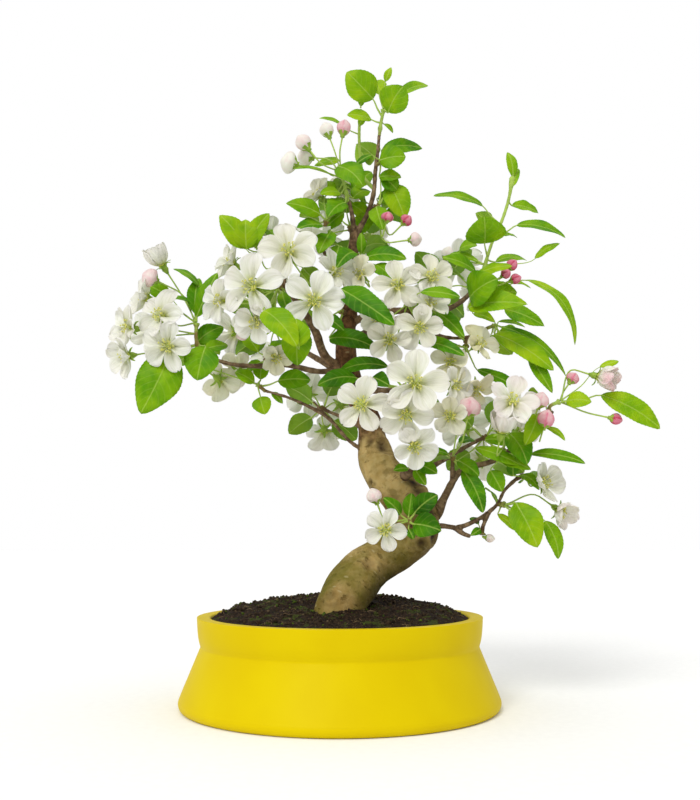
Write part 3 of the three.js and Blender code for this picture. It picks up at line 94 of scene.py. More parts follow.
# Sprays: everything that one spur carries.
#   stem: the places of its shoot, from the twig outwards; age, from 0 to 1, makes the shoot woody.
#   leaves, small: base x, z, depth, tip x, z, depth, width, face in degrees, and the share of the stem
#     where the stalk leaves it; then the arch, and a tone of its own, where it has them.
#   blooms, and lone ones that touch no others: heart x, z, depth, yaw, pitch, diameter, cup in degrees,
#     share.
#   buds: base x, z, depth, tip x, z, depth, width, share, blush.
#   tone runs from deep green to lime, blush from white to pink; cream makes fresh white petals
#     creamy, partly for their age and partly as painted shade on blossoms deep in the crown.
SPRAYS = {
    "left_tip": dict(
        tone=0.45, blush=0.05, age=0.6,
        stem=[[-89, 216, -23], [-91, 224, -22], [-91, 234, -20]],
        leaves=[[-107, 216, -26, -125, 177, -32, 27, 85, 0, 0.06],
            [-85, 219, -28, -90, 198, -33, 21, 85, 0], [-86, 217, -20, -71, 220, -12, 10, 60, 0],
            [-91, 221, -14, -74, 232, -10, 13, 75, 0], [-91, 238, -20, -79, 267, -24, 11, 70, 1],
            [-90, 258, -14, -106, 270, -16, 9, 30, 1], [-93, 246, -14, -112, 250, -20, 9, 30, 1],
            [-108, 250, 4, -126, 260, 2, 11, 75, 1], [-94, 214, -8, -110, 206, 10, 15, -50, 0],
            [-90, 222, 0, -76, 214, 18, 14, -40, 0], [-92, 240, -18, -90, 263, -8, 10, 60, 1]],
        blooms=[[-108, 219, -30, -8, -8, 35, 12, 0], [-112, 238, -27, -35, 15, 36, 15, 1],
            [-132, 231, -24, -50, 5, 33, 28, 0.5], [-119, 229, 6, 190, 5, 33, 15, 0.5]],
        lone=[[-133, 213, -26, -50, -15, 32, 34, 0], [-122, 250, -14, -60, 15, 29, 30, 1],
            [-113, 271, -14, -50, 50, 32, 62, 1]],
        buds=[[-116, 261, -16, -126, 266, -22, 12, 1, 0.3]],
    ),
    "left_arm_spur": dict(
        tone=0.45, blush=0.05, cream=0.7,
        stem=[[-46, 207, -11], [-47, 213, -13]],
        leaves=[[-52, 216, -6, -62, 228, -2, 10, 70, 1], [-50, 209, -6, -60, 200, 2, 10, 50, 0],
            [-44, 215, -6, -32, 222, 6, 11, 60, 1]],
        lone=[[-41, 213, -20, 15, -30, 25, 30, 1]],
    ),
    "left_low": dict(
        tone=0.5, blush=0.05, cream=0.6, age=0.6,
        stem=[[-47, 190.5, -2], [-52, 195, -1]],
        leaves=[[-39, 197, -4, -19, 198, -8, 13, 78, 0], [-54, 196, -6, -66, 203, -10, 10, 60, 1],
            [-50, 198, 2, -48, 210, 8, 10, 60, 1], [-50, 187, -5, -47, 176, -8, 12, 80, 1],
            [-43, 190, 0, -36, 183, -2, 5, 60, 0]],
        blooms=[[-76, 198, 16, 150, -15, 31, 15, 1], [-64, 203, 20, 200, 30, 28, 20, 1]],
    ),
    "mid_left_front": dict(
        tone=0.6, blush=0.05,
        stem=[[-36, 259, -22], [-40, 256, -27]],
        leaves=[[-48.5, 242, -54, -27.5, 220, -66, 17, 60, 1, 0.1, 0.7],
            [-26, 219, -60, -28, 237, -62, 15, 80, 1, 0.1, 0.58],
            [-27, 229, -32, -27, 207, -40, 18, 85, 1],
            [-37, 254, -36, -32, 238, -44, 8, 60, 1], [-44, 246, -14, -60, 233, -4, 13, 40, 1]],
        blooms=[[-55, 257, -45, -20, 0, 43, 10, 1], [-17, 248, -50, 5, -5, 42, 12, 0],
            [-74, 248, -33, -45, -5, 34, 20, 1], [-53, 236, -40, -20, -35, 31, 25, 1]],
        buds=[[-57, 228, -18, -66, 225, -20, 7, 1, 0.25]],
    ),
    "mid_left_top": dict(
        tone=0.6, blush=0.05, cream=0.25,
        stem=[[-32.5, 272, -15], [-34, 279, -17]],
        leaves=[[-60, 283, -28, -77.5, 305, -34, 15, 75, 1], [-60, 282, -30, -61, 302, -32, 15, 95, 1],
            [-59, 283, -28, -46, 306, -34, 12, 80, 1], [-24, 270, 0, -10, 256, 14, 13, -60, 0],
            [-38, 284, -6, -48, 296, 8, 12, 20, 1]],
        blooms=[[-33, 279, -40, 0, 12, 43, 12, 1], [-5, 266, -25, 40, 15, 33, 18, 0],
            [-55, 288, 0, -40, 60, 29, 20, 1], [-44, 290, 6, 200, 40, 28, 22, 1]],
        lone=[[-68, 272, -18, -60, 25, 30, 22, 1], [-19, 291, -14, 10, 70, 29, 20, 1]],
    ),
    "top_left": dict(
        tone=0.45, blush=0.05, cream=0.4,
        stem=[[-13.5, 286.5, -4], [-11, 294, -4], [-9, 301, -5]],
        leaves=[[-13, 305, -8, -35, 313, -14, 13, 70, 1], [-12, 298, -8, -28, 296, -18, 12, 55, 0.5],
            [-6, 294, -10, -14, 280, -20, 12, 65, 0], [-1, 284, -12, -7, 268, -20, 12, 75, 0],
            [-6, 304, 4, 4, 314, 14, 13, -30, 1], [-14, 300, 4, -26, 304, 20, 14, -40, 1]],
        lone=[[-13, 317, 4, -50, 30, 25, 35, 1], [0, 322, 15, 140, 30, 28, 20, 1]],
    ),
    "leader_left": dict(
        tone=0.55, blush=0.05, age=0.2,
        stem=[[5.2, 313, 0], [3, 322, -2], [0, 333, -4]],
        leaves=[[-5, 331, -8, -30, 336, -20, 8, 35, 1], [-1, 341, 0, -17, 338, 6, 10, 55, 1],
            [-2, 337, -8, 14, 325, -20, 16, 78, 1], [0, 319, -6, -13, 319, -14, 9, 65, 0.3],
            [3, 313, -7, -8, 304, -15, 13, 65, 0], [8, 316, 2, 18, 322, 10, 13, 50, 0],
            [4, 326, 6, -4, 318, 22, 13, -50, 0.6]],
        small=[[8, 322, 8, 20, 334, 10, 13, 60, 0.4], [6, 312, 10, 18, 302, 14, 12, 70, 0.2],
            [-4, 318, 8, -16, 326, 14, 12, 60, 0.5], [2, 306, 10, -10, 296, 12, 12, 70, 0]],
        buds=[[-7, 356, -8, -11, 367, -8, 9, 1, 0.05], [1, 357, -6, 3, 369, -6, 9, 1, 0.45],
            [-27, 338, -14, -39, 341, -16, 14, 0.75, 0.03], [-17, 343, -4, -28, 344, -4, 13, 0.9, 0.05],
            [-20, 348, -14, -28, 358, -14, 10, 1, 0.15]],
    ),
    "thin_shoot": dict(
        tone=0.6, blush=0.05, age=0.15,
        stem=[[21.5, 322, 1], [15, 330, 6], [12.5, 346, 7], [12, 362, 6], [13, 376, 5]],
        leaves=[[1, 365, 4, -14, 370, 2, 6, 45, 0.7], [13, 378, 5, 15, 387, 5, 5, 80, 1],
            [16, 342, 14, 10, 352, 30, 13, -60, 0.4], [12, 365, 4, 16, 372, 2, 5, 70, 0.8]],
    ),
    "leader_right": dict(
        tone=0.65, blush=0.05, age=0.35,
        stem=[[25, 358, 0], [26, 366, 0], [28, 376, 0]],
        leaves=[[21, 383, -4, 4, 402, -10, 22, 82, 0.6], [31, 374, -8, 41, 392, -16, 20, 82, 1],
            [37, 385, 0, 57, 393, 8, 10, 60, 1], [29, 395, 2, 33, 405, 2, 5, 80, 1],
            [25, 386, 6, 22, 396, 14, 12, 60, 1], [20, 369, -2, 4, 372, -8, 10, 70, 0.3],
            [29, 380, 8, 38, 390, 26, 15, -50, 1], [28, 366, 2, 34, 360, 4, 4, 60, 0.4]],
    ),
    "leader_right_mid": dict(
        tone=0.4, blush=0.05, age=0.6,
        stem=[[23.2, 338, 0], [27, 341, -4]],
        leaves=[[27, 349, 5, 53, 350, 8, 12, 72, 1], [25, 341, -5, 42, 344, -8, 17, 82, 0],
            [25, 330, 0, 39, 330, -4, 10, 68, 0], [20, 345, -8, 9, 338, -8, 5, 70, 1],
            [22, 342, 8, 12, 352, 26, 14, -60, 1]],
    ),
    "leader_right_low": dict(
        tone=0.5, blush=0.05,
        stem=[[18.5, 308, 0], [24.5, 311, -3]],
        leaves=[[31, 325, 4, 41, 302, 0, 17, 85, 1], [27, 330, 0, 37, 321, 0, 12, 75, 1],
            [23, 310, -5, 27, 295, -14, 12, 80, 1], [16, 314, 14, 8, 322, 26, 12, -40, 1],
            [26, 313, 8, 40, 318, 24, 15, -50, 1]],
        small=[[24, 316, 8, 36, 312, 16, 14, 70, 1], [20, 304, 10, 10, 292, 14, 13, 75, 0],
            [28, 306, 10, 44, 300, 16, 13, 65, 1]],
        buds=[[29, 299, -14, 31, 307, -16, 8, 1, 0.85], [39, 298, -10, 45, 304, -12, 8, 1, 0.9],
            [43, 288, -14, 52, 289, -16, 9, 1, 0.22]],
    ),
    "crown": dict(
        tone=0.45, blush=0.05, cream=0.7,
        stem=[[9, 279, -2], [11, 276, -9]],
        leaves=[[15, 276, -10, 42, 276, -18, 12, 68, 1], [9, 280, -22, -2, 271, -38, 10, 80, 1],
            [22, 272, -14, 34, 263, -22, 12, 60, 1], [0, 284, -6, -14, 284, 8, 13, -20, 1],
            [13, 279, -8, 13, 293, -12, 6, 75, 1], [14, 282, 6, 28, 286, 20, 15, -40, 0]],
        blooms=[[13, 264, -20, -25, 15, 28, 22, 1]],
    ),
    "centre_high": dict(
        tone=0.5, blush=0.05, cream=0.35,
        stem=[[40, 242, -12], [43, 247, -17]],
        leaves=[[51, 254, -44, 76, 251, -50, 9, 62, 1], [40, 252, -4, 30, 258, 10, 13, -30, 1],
            [50, 250, -4, 62, 256, 8, 13, -20, 1]],
        blooms=[[36, 258, -36, 0, 0, 34, 15, 1], [57, 263, -34, 15, 12, 33, 15, 1],
            [56, 244, -38, 10, 40, 30, 20, 1], [50, 232, -42, 0, -20, 33, 15, 0],
            [31, 223, -38, -10, -5, 32, 15, 0], [24, 237, -36, -20, -10, 26, 25, 0]],
    ),
    "trunk_spur": dict(
        tone=0.3, blush=0.05,
        stem=[[3, 240, -4], [0, 242, -12]],
        leaves=[[0, 256, -42, 34, 233, -62, 16, 72, 1], [-7, 224, -14, 23, 218, -24, 13, 72, 0],
            [-10, 238, -20, 2, 230, -28, 9, 60, 1]],
    ),
    "right_knot": dict(
        tone=0.35, blush=0.05, cream=0.9,
        stem=[[80, 225, -10], [79, 219, -14]],
        leaves=[[57, 243, -24, 78, 226, -38, 10, 75, 0], [48, 222, -26, 78, 214, -44, 10, 62, 1],
            [86, 204, -12, 113, 192, -18, 9, 60, 1], [74, 220, 2, 62, 212, 16, 13, -50, 1]],
        blooms=[[70, 209, -32, -15, -10, 28, 22, 1], [84, 193, -24, 30, -40, 28, 22, 1]],
        lone=[[86, 220, -24, 35, 20, 29, 20, 0]],
    ),
    "right_shoot": dict(
        tone=0.5, blush=0.05, age=0.2,
        stem=[[90, 263, -12], [93, 275, -12], [97, 287, -11], [103, 300, -10], [108, 315, -10],
            [111, 331, -12]],
        leaves=[[92, 286, -20, 92, 304, -32, 25, 92, 0.15], [91, 311, -8, 60, 318, -14, 9, 52, 0.5],
            [110, 311, -8, 127, 306, -4, 9, 60, 0.75], [113, 298, -10, 144, 291, -16, 10, 52, 0.35],
            [111, 330, -12, 108, 347, -12, 7, 65, 1], [99, 274, -6, 119, 276, 0, 9, 45, 0.1],
            [124, 276, -10, 140, 286, -14, 7, 50, 0.05], [76, 282, -6, 87, 285, -12, 10, 60, 0.05],
            [96, 296, -2, 88, 306, 14, 12, -50, 0.4], [104, 291, -6, 113, 290, -2, 5, 40, 0.4],
            [111, 324, -12, 115, 336, -8, 5, 70, 0.9], [70, 279, -4, 89, 273, -10, 6, 50, 0.05]],
        buds=[[106, 268, -22, 112, 275, -24, 7, 0, 0.95], [102, 264, -24, 108, 268, -28, 6.5, 0, 0.9],
            [107, 261, -20, 115, 264, -22, 6.5, 0, 0.95]],
    ),
    "right_crown": dict(
        tone=0.6, blush=0.05, age=0.5,
        stem=[[84, 255, -14], [86, 256, -22]],
        leaves=[[86, 267, -24, 65, 277, -32, 10, 62, 1], [86, 265, -26, 109, 272, -36, 11, 52, 1],
            [82, 250, -30, 99, 263, -48, 22, 78, 1], [93, 252, -16, 112, 254, -18, 16, 78, 1],
            [81, 244, -30, 118, 247, -48, 15, 72, 1], [104, 243, -18, 129, 233, -26, 12, 68, 0],
            [118, 262, -14, 150, 222, -16, 9, 40, 0, 0.2], [84, 240, -10, 98, 235, -12, 7, 60, 0],
            [78, 262, -18, 64, 268, -6, 14, -20, 1], [105, 260, -10, 121, 257, -6, 6, 40, 0],
            [88, 250, 2, 104, 244, 20, 16, -40, 0]],
    ),
    "right_mid": dict(
        tone=0.6, blush=0.05, age=0.5,
        stem=[[92, 230.5, -10], [98.5, 233, -12]],
        leaves=[[97, 227, -16, 134, 204, -28, 15, 62, 1],
            [100, 232, -10, 143, 202, -12, 8, 50, 1, 0.16], [119, 213, -20, 133, 190, -26, 9, 70, 0],
            [100, 228, 4, 117, 225, 8, 10, 50, 1], [95, 226, 4, 108, 214, 20, 15, -40, 0],
            [100, 235, -6, 117, 232, -8, 4.5, 45, 1]],
    ),
    "right_tip": dict(
        tone=0.65, blush=0.5, age=0.45,
        stem=[[130, 175, -18], [131, 181, -23], [137, 184, -22]],
        leaves=[[141, 184, -24, 157, 184, -30, 11, 72, 1],
            [163, 188, -18, 200, 168, -24, 15, 76, 1, 0.08], [123, 176, -26, 115, 157, -34, 11, 84, 0],
            [128, 182, -6, 118, 190, 10, 13, -40, 0], [163, 206, -19, 175, 210, -19, 5, 60, 1],
            [128, 168, -20, 140, 160, -24, 5, 50, 0]],
        lone=[[161, 200, -22, 60, -20, 30, 58, 1]],
        buds=[[143, 195, -18, 148, 202, -18, 8, 1, 0.6], [167, 174, -22, 176, 172, -22, 7, 1, 0.9],
            [126, 166, -30, 130, 179, -32, 10, 0, 0.6], [123, 179, -28, 127, 190, -30, 10, 0, 0.4]],
    ),
    "right_fork": dict(
        tone=0.45, blush=0.25, age=0.7,
        stem=[[100, 149, -14], [101, 154, -20]],
        leaves=[[84, 155, -18, 112, 145, -28, 10, 55, 1], [105, 164, -22, 116, 145, -32, 15, 80, 1],
            [99, 148, -20, 118, 142, -28, 9, 55, 1], [93, 141, -18, 100, 128, -20, 11, 80, 0],
            [90, 160, -12, 106, 157, -4, 9, 55, 1], [118, 151, -18, 152, 146, -24, 8, 60, 0, 0.12],
            [98, 146, 2, 108, 138, 20, 14, -50, 0]],
        blooms=[[107, 183, -44, 0, 22, 36, 22, 1]],
        lone=[[100, 164, -42, 15, 60, 33, 54, 1], [112, 178, -14, 150, 30, 30, 20, 1]],
    ),
    "fork_spur": dict(
        tone=0.3, blush=0.05, cream=0.6,
        stem=[[69.5, 143.5, -11.5], [70, 150, -13.5]],
        leaves=[[73, 147, -16, 86, 138, -22, 10, 62, 0], [76, 141, -18, 88, 115, -26, 11, 76, 0],
            [66, 150, -4, 54, 146, 10, 13, -30, 0], [74, 158, -8, 84, 160, 2, 8, 40, 1],
            [67, 151, -10, 55, 154, -12, 5, 55, 0]],
        lone=[[69, 175, -40, -20, -5, 29, 32, 1]],
        buds=[[79, 173, -34, 82, 187, -36, 14, 1, 0.42]],
    ),
    "middle_low": dict(
        tone=0.3, blush=0.05,
        stem=[[44.8, 144.5, -22], [45.5, 149, -26]],
        leaves=[[47, 145, -24, 60, 139, -32, 10, 62, 1], [46, 142, -24, 53, 132, -28, 7, 70, 0],
            [42, 142, -22, 33, 141, -26, 6, 60, 0]],
        blooms=[[46, 157, -44, 0, -25, 32, 20, 1]],
    ),
    "middle": dict(
        tone=0.15, blush=0.05, cream=0.25,
        stem=[[37.5, 191, -36], [40.5, 193.5, -42]],
        leaves=[[10, 199, -26, -14, 195, -34, 12, 72, 0], [30, 206, -28, -2, 203, -22, 11, 60, 0],
            [20, 199, -36, 31, 194, -46, 10, 80, 0], [42, 203, -36, 51, 216, -40, 10, 78, 1],
            [46, 190, -24, 62, 182, -12, 13, 20, 1]],
        blooms=[[47, 195, -60, 0, 2, 44, 12, 1], [14, 182, -54, -10, -5, 38, 10, 0],
            [41, 177, -52, -5, -28, 38, 18, 1], [70, 194, -36, 45, 0, 30, 22, 1]],
    ),
    "low_front": dict(
        tone=0.15, blush=0.05,
        stem=[[42.5, 108, -20], [42, 110, -26]],
        leaves=[[37, 114, -26, 27, 124, -32, 8, 78, 1], [42, 113, -24, 44, 127, -22, 9, 82, 1],
            [46, 115, -26, 60, 126, -30, 12, 74, 1], [45, 108, -28, 62, 104, -36, 15, 80, 1],
            [42, 105, -26, 45, 99, -30, 6, 70, 0]],
        lone=[[28, 105, -46, -10, -5, 29, 12, 1]],
        buds=[[23, 120, -36, 19, 130, -38, 9, 1, 0.2]],
    ),
    "low_arm": dict(
        tone=0.6, blush=0.2, age=0.7,
        stem=[[97, 120, -6], [101, 120, -12]],
        leaves=[[108, 121, -16, 121, 94, -24, 19, 84, 1], [104, 117, -16, 115, 99, -18, 8, 60, 1],
            [126, 110, -6, 134, 87, -8, 10, 66, 1], [97, 114, -6, 109, 104, -8, 6, 55, 0],
            [96, 122, 2, 90, 130, 14, 11, -40, 0]],
        lone=[[134, 117, -8, 40, -30, 28, 48, 1]],
    ),
    "low_arm_tip": dict(
        tone=0.35, blush=0.05,
        stem=[[108.5, 135.5, -4], [114, 138, -6]],
        leaves=[[111, 138, -8, 123, 129, -14, 7, 60, 1, 0.22], [107, 138, -8, 107, 150, -14, 8, 75, 0],
            [112, 134, 4, 124, 138, 18, 13, -30, 1]],
        lone=[[124, 133, -10, 35, 10, 31, 40, 1]],
    ),
    "low_arm_spur": dict(
        tone=0.3, blush=0.05,
        stem=[[87.6, 106.4, -6], [87, 101.5, -7]],
        leaves=[[86, 105, -8, 80, 101, -12, 5, 70, 1], [85, 108, -4, 80, 112, 2, 5, 50, 0]],
        buds=[[88, 100, -8, 95, 99, -10, 5, 1, 0.12]],
    ),
    "back_left": dict(
        tone=0.35, blush=0.05,
        stem=[[-39, 228.5, 47.5], [-44, 234, 52]],
        leaves=[[-48, 226, 56, -66, 214, 62, 17, -70, 0], [-30, 234, 60, -14, 238, 72, 17, -60, 1],
            [-52, 240, 50, -74, 246, 44, 16, -30, 1], [-38, 222, 56, -28, 208, 62, 15, -70, 0],
            [-46, 240, 44, -50, 258, 30, 15, -20, 1]],
        blooms=[[-56, 248, 66, 210, 15, 34, 12, 1], [-34, 252, 56, 170, 40, 33, 15, 1],
            [-66, 228, 60, 225, -5, 32, 15, 0], [-42, 216, 64, 175, -25, 32, 15, 0]],
        buds=[[-30, 242, 72, -26, 250, 78, 8, 1, 0.5]],
    ),
    "back_right": dict(
        tone=0.35, blush=0.05,
        stem=[[61.2, 253.4, 43.5], [66, 259, 46]],
        leaves=[[60, 264, 50, 48, 280, 56, 17, -60, 1], [66, 250, 50, 74, 234, 60, 17, -60, 1],
            [70, 266, 44, 84, 282, 40, 16, -30, 1], [56, 250, 52, 40, 244, 62, 16, -65, 0],
            [66, 248, 36, 78, 238, 28, 14, -40, 0]],
        blooms=[[74, 272, 60, 165, 20, 34, 12, 1], [54, 262, 64, 185, 5, 33, 15, 1],
            [84, 256, 58, 135, 0, 32, 15, 0]],
        buds=[[66, 274, 40, 70, 284, 38, 8, 1, 0.1]],
    ),
    "back_low": dict(
        tone=0.35, blush=0.05,
        stem=[[85.2, 159.5, 43.6], [91, 162, 46]],
        leaves=[[80, 152, 50, 66, 142, 56, 16, -60, 0], [98, 152, 46, 114, 140, 48, 17, -60, 1],
            [94, 170, 44, 104, 186, 38, 16, -30, 1], [82, 168, 46, 70, 180, 52, 15, -60, 0],
            [96, 154, 36, 104, 140, 26, 14, -40, 1]],
        blooms=[[98, 174, 54, 170, 20, 33, 12, 1], [78, 166, 62, 200, 0, 32, 15, 0],
            [110, 164, 48, 130, 5, 30, 18, 1], [88, 148, 60, 180, -10, 30, 18, 0]],
    ),
    "back_top": dict(
        tone=0.35, blush=0.05,
        stem=[[7.2, 291, 29.4], [6, 297, 32]],
        leaves=[[0, 302, 40, -14, 314, 48, 16, -60, 1], [14, 298, 36, 30, 304, 42, 16, -60, 1],
            [6, 288, 38, 2, 270, 48, 17, -80, 0], [4, 306, 30, 4, 324, 26, 14, -60, 1],
            [16, 286, 34, 32, 276, 38, 15, -70, 0]],
        blooms=[[-8, 292, 46, 205, 10, 31, 15, 0], [18, 290, 50, 165, 0, 31, 15, 1]],
        buds=[[8, 312, 40, 10, 322, 44, 8, 1, 0.5]],
    ),
    "back_mid": dict(
        tone=0.35, blush=0.05,
        stem=[[-7.2, 177.6, 39.4], [-12, 180, 43]],
        leaves=[[-18, 184, 46, -34, 194, 52, 16, -60, 1], [-4, 172, 48, 10, 160, 56, 16, -65, 0],
            [-18, 174, 46, -32, 164, 52, 15, -60, 1], [-8, 188, 42, 0, 204, 44, 15, -60, 0]],
        blooms=[[-20, 188, 60, 200, 10, 32, 12, 1], [0, 182, 60, 160, 0, 32.5, 15, 0],
            [-10, 166, 58, 175, -25, 29, 18, 1]],
    ),
}


# ---------------------------------------------------------------- shapes as arrays
def unit(v):
    return v / np.linalg.norm(v, axis=-1, keepdims=True)


def seen(x, z, depth):
    """Where a place Q = (x, 0, z) stands once it is moved back by depth, along the ray from the eye:
    EYE + (Q - EYE)(1 + depth / AWAY)."""
    return EYE + (np.array([x, 0, z]) - EYE) * (1 + depth / AWAY)


def facing(yaw, pitch):
    """The direction that is turned yaw degrees to the right of the front and raised by pitch."""
    yaw, pitch = math.radians(yaw), math.radians(pitch)
    level = math.cos(pitch)
    return np.array([math.sin(yaw) * level, -math.cos(yaw) * level, math.sin(pitch)])


def smooth(points, count):
    """A smooth path through points, in count places: cubic Hermite pieces over the length of the
    chords, with slopes from central differences."""
    points = np.asarray(points, float)
    along = np.append(0, np.cumsum(np.linalg.norm(np.diff(points[:, :3], axis=0), axis=1)))
    slope = np.gradient(points, along, axis=0)
    t = np.linspace(0, along[-1], count)
    i = np.clip(np.searchsorted(along, t, "right") - 1, 0, len(along) - 2)
    h = (along[i + 1] - along[i])[:, None]
    s = (t - along[i])[:, None] / h
    bend = (s**3 - 2 * s**2 + s) * h * slope[i] + (s**3 - s**2) * h * slope[i + 1]
    return points[i] + (3 * s**2 - 2 * s**3) * (points[i + 1] - points[i]) + bend


def frames(path):
    """The way each path (..., n, 3) runs, and two directions across it that turn with it."""
    way = unit(np.gradient(path, axis=-2))
    axis = np.eye(3)[np.argmin(np.abs(way).max(axis=-2), axis=-1)]
    first = unit(np.cross(axis[..., None, :], way))
    return way, first, np.cross(way, first)


def tube(path, radii, around=6):
    """Round sections along a path: centre + radius (cos a first + sin a second)."""
    _, first, second = frames(path)
    a = np.arange(around) * 2 * np.pi / around
    ring = np.cos(a)[:, None] * first[..., None, :] + np.sin(a)[:, None] * second[..., None, :]
    return path[..., None, :] + np.asarray(radii)[..., None, None] * ring


def swelling(foot, way, profile, around, lobe=1.0):
    """A turned solid from profile rows (distance along way, radius), with each point's radius times
    lobe."""
    at, radius = np.asarray(profile, float).T
    _, first, second = frames(np.array([foot, foot + way]))
    a = np.arange(around) * 2 * np.pi / around
    ring = np.cos(a)[:, None] * first[0] + np.sin(a)[:, None] * second[0]
    out = radius[:, None] * lobe * np.ones(around)
    return foot + at[:, None, None] * way + out[..., None] * ring


def solid(sections, finish, **marks):
    """Closed solids over sections (..., rows, around, 3): four-sided faces between neighbouring
    rows, and strips of them over the first and the last row. marks are values for each point of the
    sections."""
    rows, around = sections.shape[-3:-1]
    count = sections[..., 0, 0, 0].size
    k = np.arange(around)
    near = (np.arange(rows - 1) * around)[:, None] + k
    far = (np.arange(rows - 1) * around)[:, None] + (k + 1) % around
    sides = np.stack([near, far, far + around, near + around], -1).reshape(-1, 4)
    k = np.arange(around // 2 - 1)
    first = np.stack([k, around - 1 - k, around - 2 - k, k + 1], -1)
    last = np.stack([k, k + 1, around - 2 - k, around - 1 - k], -1) + (rows - 1) * around
    faces = np.concatenate([sides, first, last]) + (np.arange(count) * rows * around)[:, None, None]
    spread = {name: np.broadcast_to(mark, sections.shape[:-1]).ravel() for name, mark in marks.items()}
    return dict(points=sections.reshape(-1, 3), faces=faces.reshape(-1, 4), finish=finish, marks=spread)


def value_noise(points, seed):
    """Smooth noise from -1 to 1: hashed values on the corners of unit cells, blended by t²(3 - 2t)."""
    cell = np.floor(points).astype(np.int64)
    t = points - cell
    t = t * t * (3 - 2 * t)
    total = np.zeros(points.shape[:-1])
    for corner in np.ndindex(2, 2, 2):
        h = ((cell + corner) * [73856093, 19349663, 83492791]).sum(-1) + seed * 2654435761
        h = ((h & 0x7FFFFFFF) ^ ((h & 0x7FFFFFFF) >> 13)) * 1274126177 & 0x7FFFFFFF
        value = ((h ^ (h >> 15)) & 0xFFFF) / 32767.5 - 1
        total += value * np.prod(np.where(corner, t, 1 - t), axis=-1)
    return total


def roughness(points, size, octaves, seed):
    """Noise summed over octaves, each half as large and 0.55 as high as the one before."""
    scaled = np.asarray(points) / size
    return sum(0.55**i * value_noise(scaled * 2**i, seed + i) for i in range(octaves))


def mark(mesh, name, values):
    """Keeps a value, or a vector in metres, for each point of the mesh."""
    kind, field = ("FLOAT", "value") if values.ndim == 1 else ("FLOAT_VECTOR", "vector")
    mesh.attributes.new(name, kind, "POINT").data.foreach_set(field, values.astype(np.float32).ravel())


def placed(name, data):
    """A new object in the scene."""
    made = bpy.data.objects.new(name, data)
    bpy.context.scene.collection.objects.link(made)
    return made


def mesh_of(name, parts):
    """One mesh from solids: their points in metres, their faces, a material slot for each finish,
    and their marks."""
    starts = np.cumsum([0] + [len(p["points"]) for p in parts])
    points = np.concatenate([p["points"] for p in parts]) * MM
    faces = np.concatenate([p["faces"] + s for p, s in zip(parts, starts)])
    finishes = list(dict.fromkeys(p["finish"] for p in parts))
    index = np.concatenate([np.full(len(p["faces"]), finishes.index(p["finish"])) for p in parts])
    mesh = bpy.data.meshes.new(name)
    mesh.vertices.add(len(points))
    mesh.vertices.foreach_set("co", points.ravel())
    mesh.loops.add(faces.size)
    mesh.loops.foreach_set("vertex_index", faces.ravel())
    mesh.polygons.add(len(faces))
    mesh.polygons.foreach_set("loop_start", np.arange(0, faces.size, 4))
    for finish in finishes:
        mesh.materials.append(MATERIALS[finish])
    mesh.polygons.foreach_set("material_index", index)
    mesh.update(calc_edges=True)
    mesh.polygons.foreach_set("use_smooth", np.ones(len(faces), bool))
    for kind in sorted({m for p in parts for m in p["marks"]}):
        values = [p["marks"].get(kind, np.zeros(len(p["points"]))) for p in parts]
        mark(mesh, kind, np.concatenate(values))
    return mesh


def piece(name, mesh, slot, *nodes):
    """An object for a finished mesh, which rides on the root; its nodes of the frame are hidden."""
    made = placed(name, mesh)
    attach(made, "root")
    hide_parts(*nodes)


def baked(made):
    """The object's mesh with its modifiers applied."""
    shaped = made.evaluated_get(bpy.context.evaluated_depsgraph_get())
    mesh = bpy.data.meshes.new_from_object(shaped)
    made.modifiers.clear()
    return mesh


# ---------------------------------------------------------------- finishes
MATERIALS = {}
COLOURS = {"data_type": "RGBA"}
PLUS, LESS, TIMES, LARGER, SIZE, FOLDED = (
    {"operation": work} for work in ("ADD", "SUBTRACT", "MULTIPLY", "MAXIMUM", "ABSOLUTE", "PINGPONG"))
SOFT = {"interpolation_type": "SMOOTHSTEP"}


def linear(colour):
    """The linear values of an sRGB hex colour."""
    s = np.array([int(colour[i : i + 2], 16) for i in (1, 3, 5)]) / 255
    return [*np.where(s <= 0.04045, s / 12.92, ((s + 0.055) / 1.055) ** 2.4), 1]


def add(tree, kind, settings=None, *wired, **inputs):
    """Adds a shader node and returns it. settings are its properties, or the stops of a colour
    ramp. Each input, by its place among those in use or by its name with _ for a space, is a value,
    a colour, or a node or socket that it is linked to."""
    node = tree.nodes.new("ShaderNode" + kind)
    for key, value in (settings or {}).items():
        if key == "stops":
            ramp = node.color_ramp.elements
            while len(ramp) < len(value):
                ramp.new(1)
            for stop, (at, colour) in zip(ramp, value):
                stop.position, stop.color = at, linear(colour)
        else:
            setattr(node, key, value)
    used = [socket for socket in node.inputs if socket.enabled]
    named = {key.replace("_", " "): value for key, value in inputs.items()}
    wanted = [*zip(used, wired), *((s, named[s.name]) for s in used if s.name in named)]
    for socket, value in wanted:
        if isinstance(value, bpy.types.Node):
            value = next(output for output in value.outputs if output.enabled)
        if isinstance(value, bpy.types.NodeSocket):
            tree.links.new(value, socket)
        else:
            socket.default_value = linear(value) if isinstance(value, str) else value
    return node


def begin(name):
    """A new, empty material of that name: a function that adds nodes to it, and its Object
    coordinates."""
    material = MATERIALS[name] = bpy.data.materials.new(name)
    material.use_nodes = True
    material.node_tree.nodes.clear()
    node = functools.partial(add, material.node_tree)
    return node, node("TexCoord").outputs["Object"]


def patches(node, place, size, detail=3.0, rough=0.55, dark=0.3, light=0.7):
    """A pattern from 0 to 1 of soft blotches about size mm across."""
    scale = 1 / (1.6 * size * MM)
    noise = node("TexNoise", None, Vector=place, Scale=scale, Detail=detail, Roughness=rough)
    return node("MapRange", SOFT, noise, dark, light)


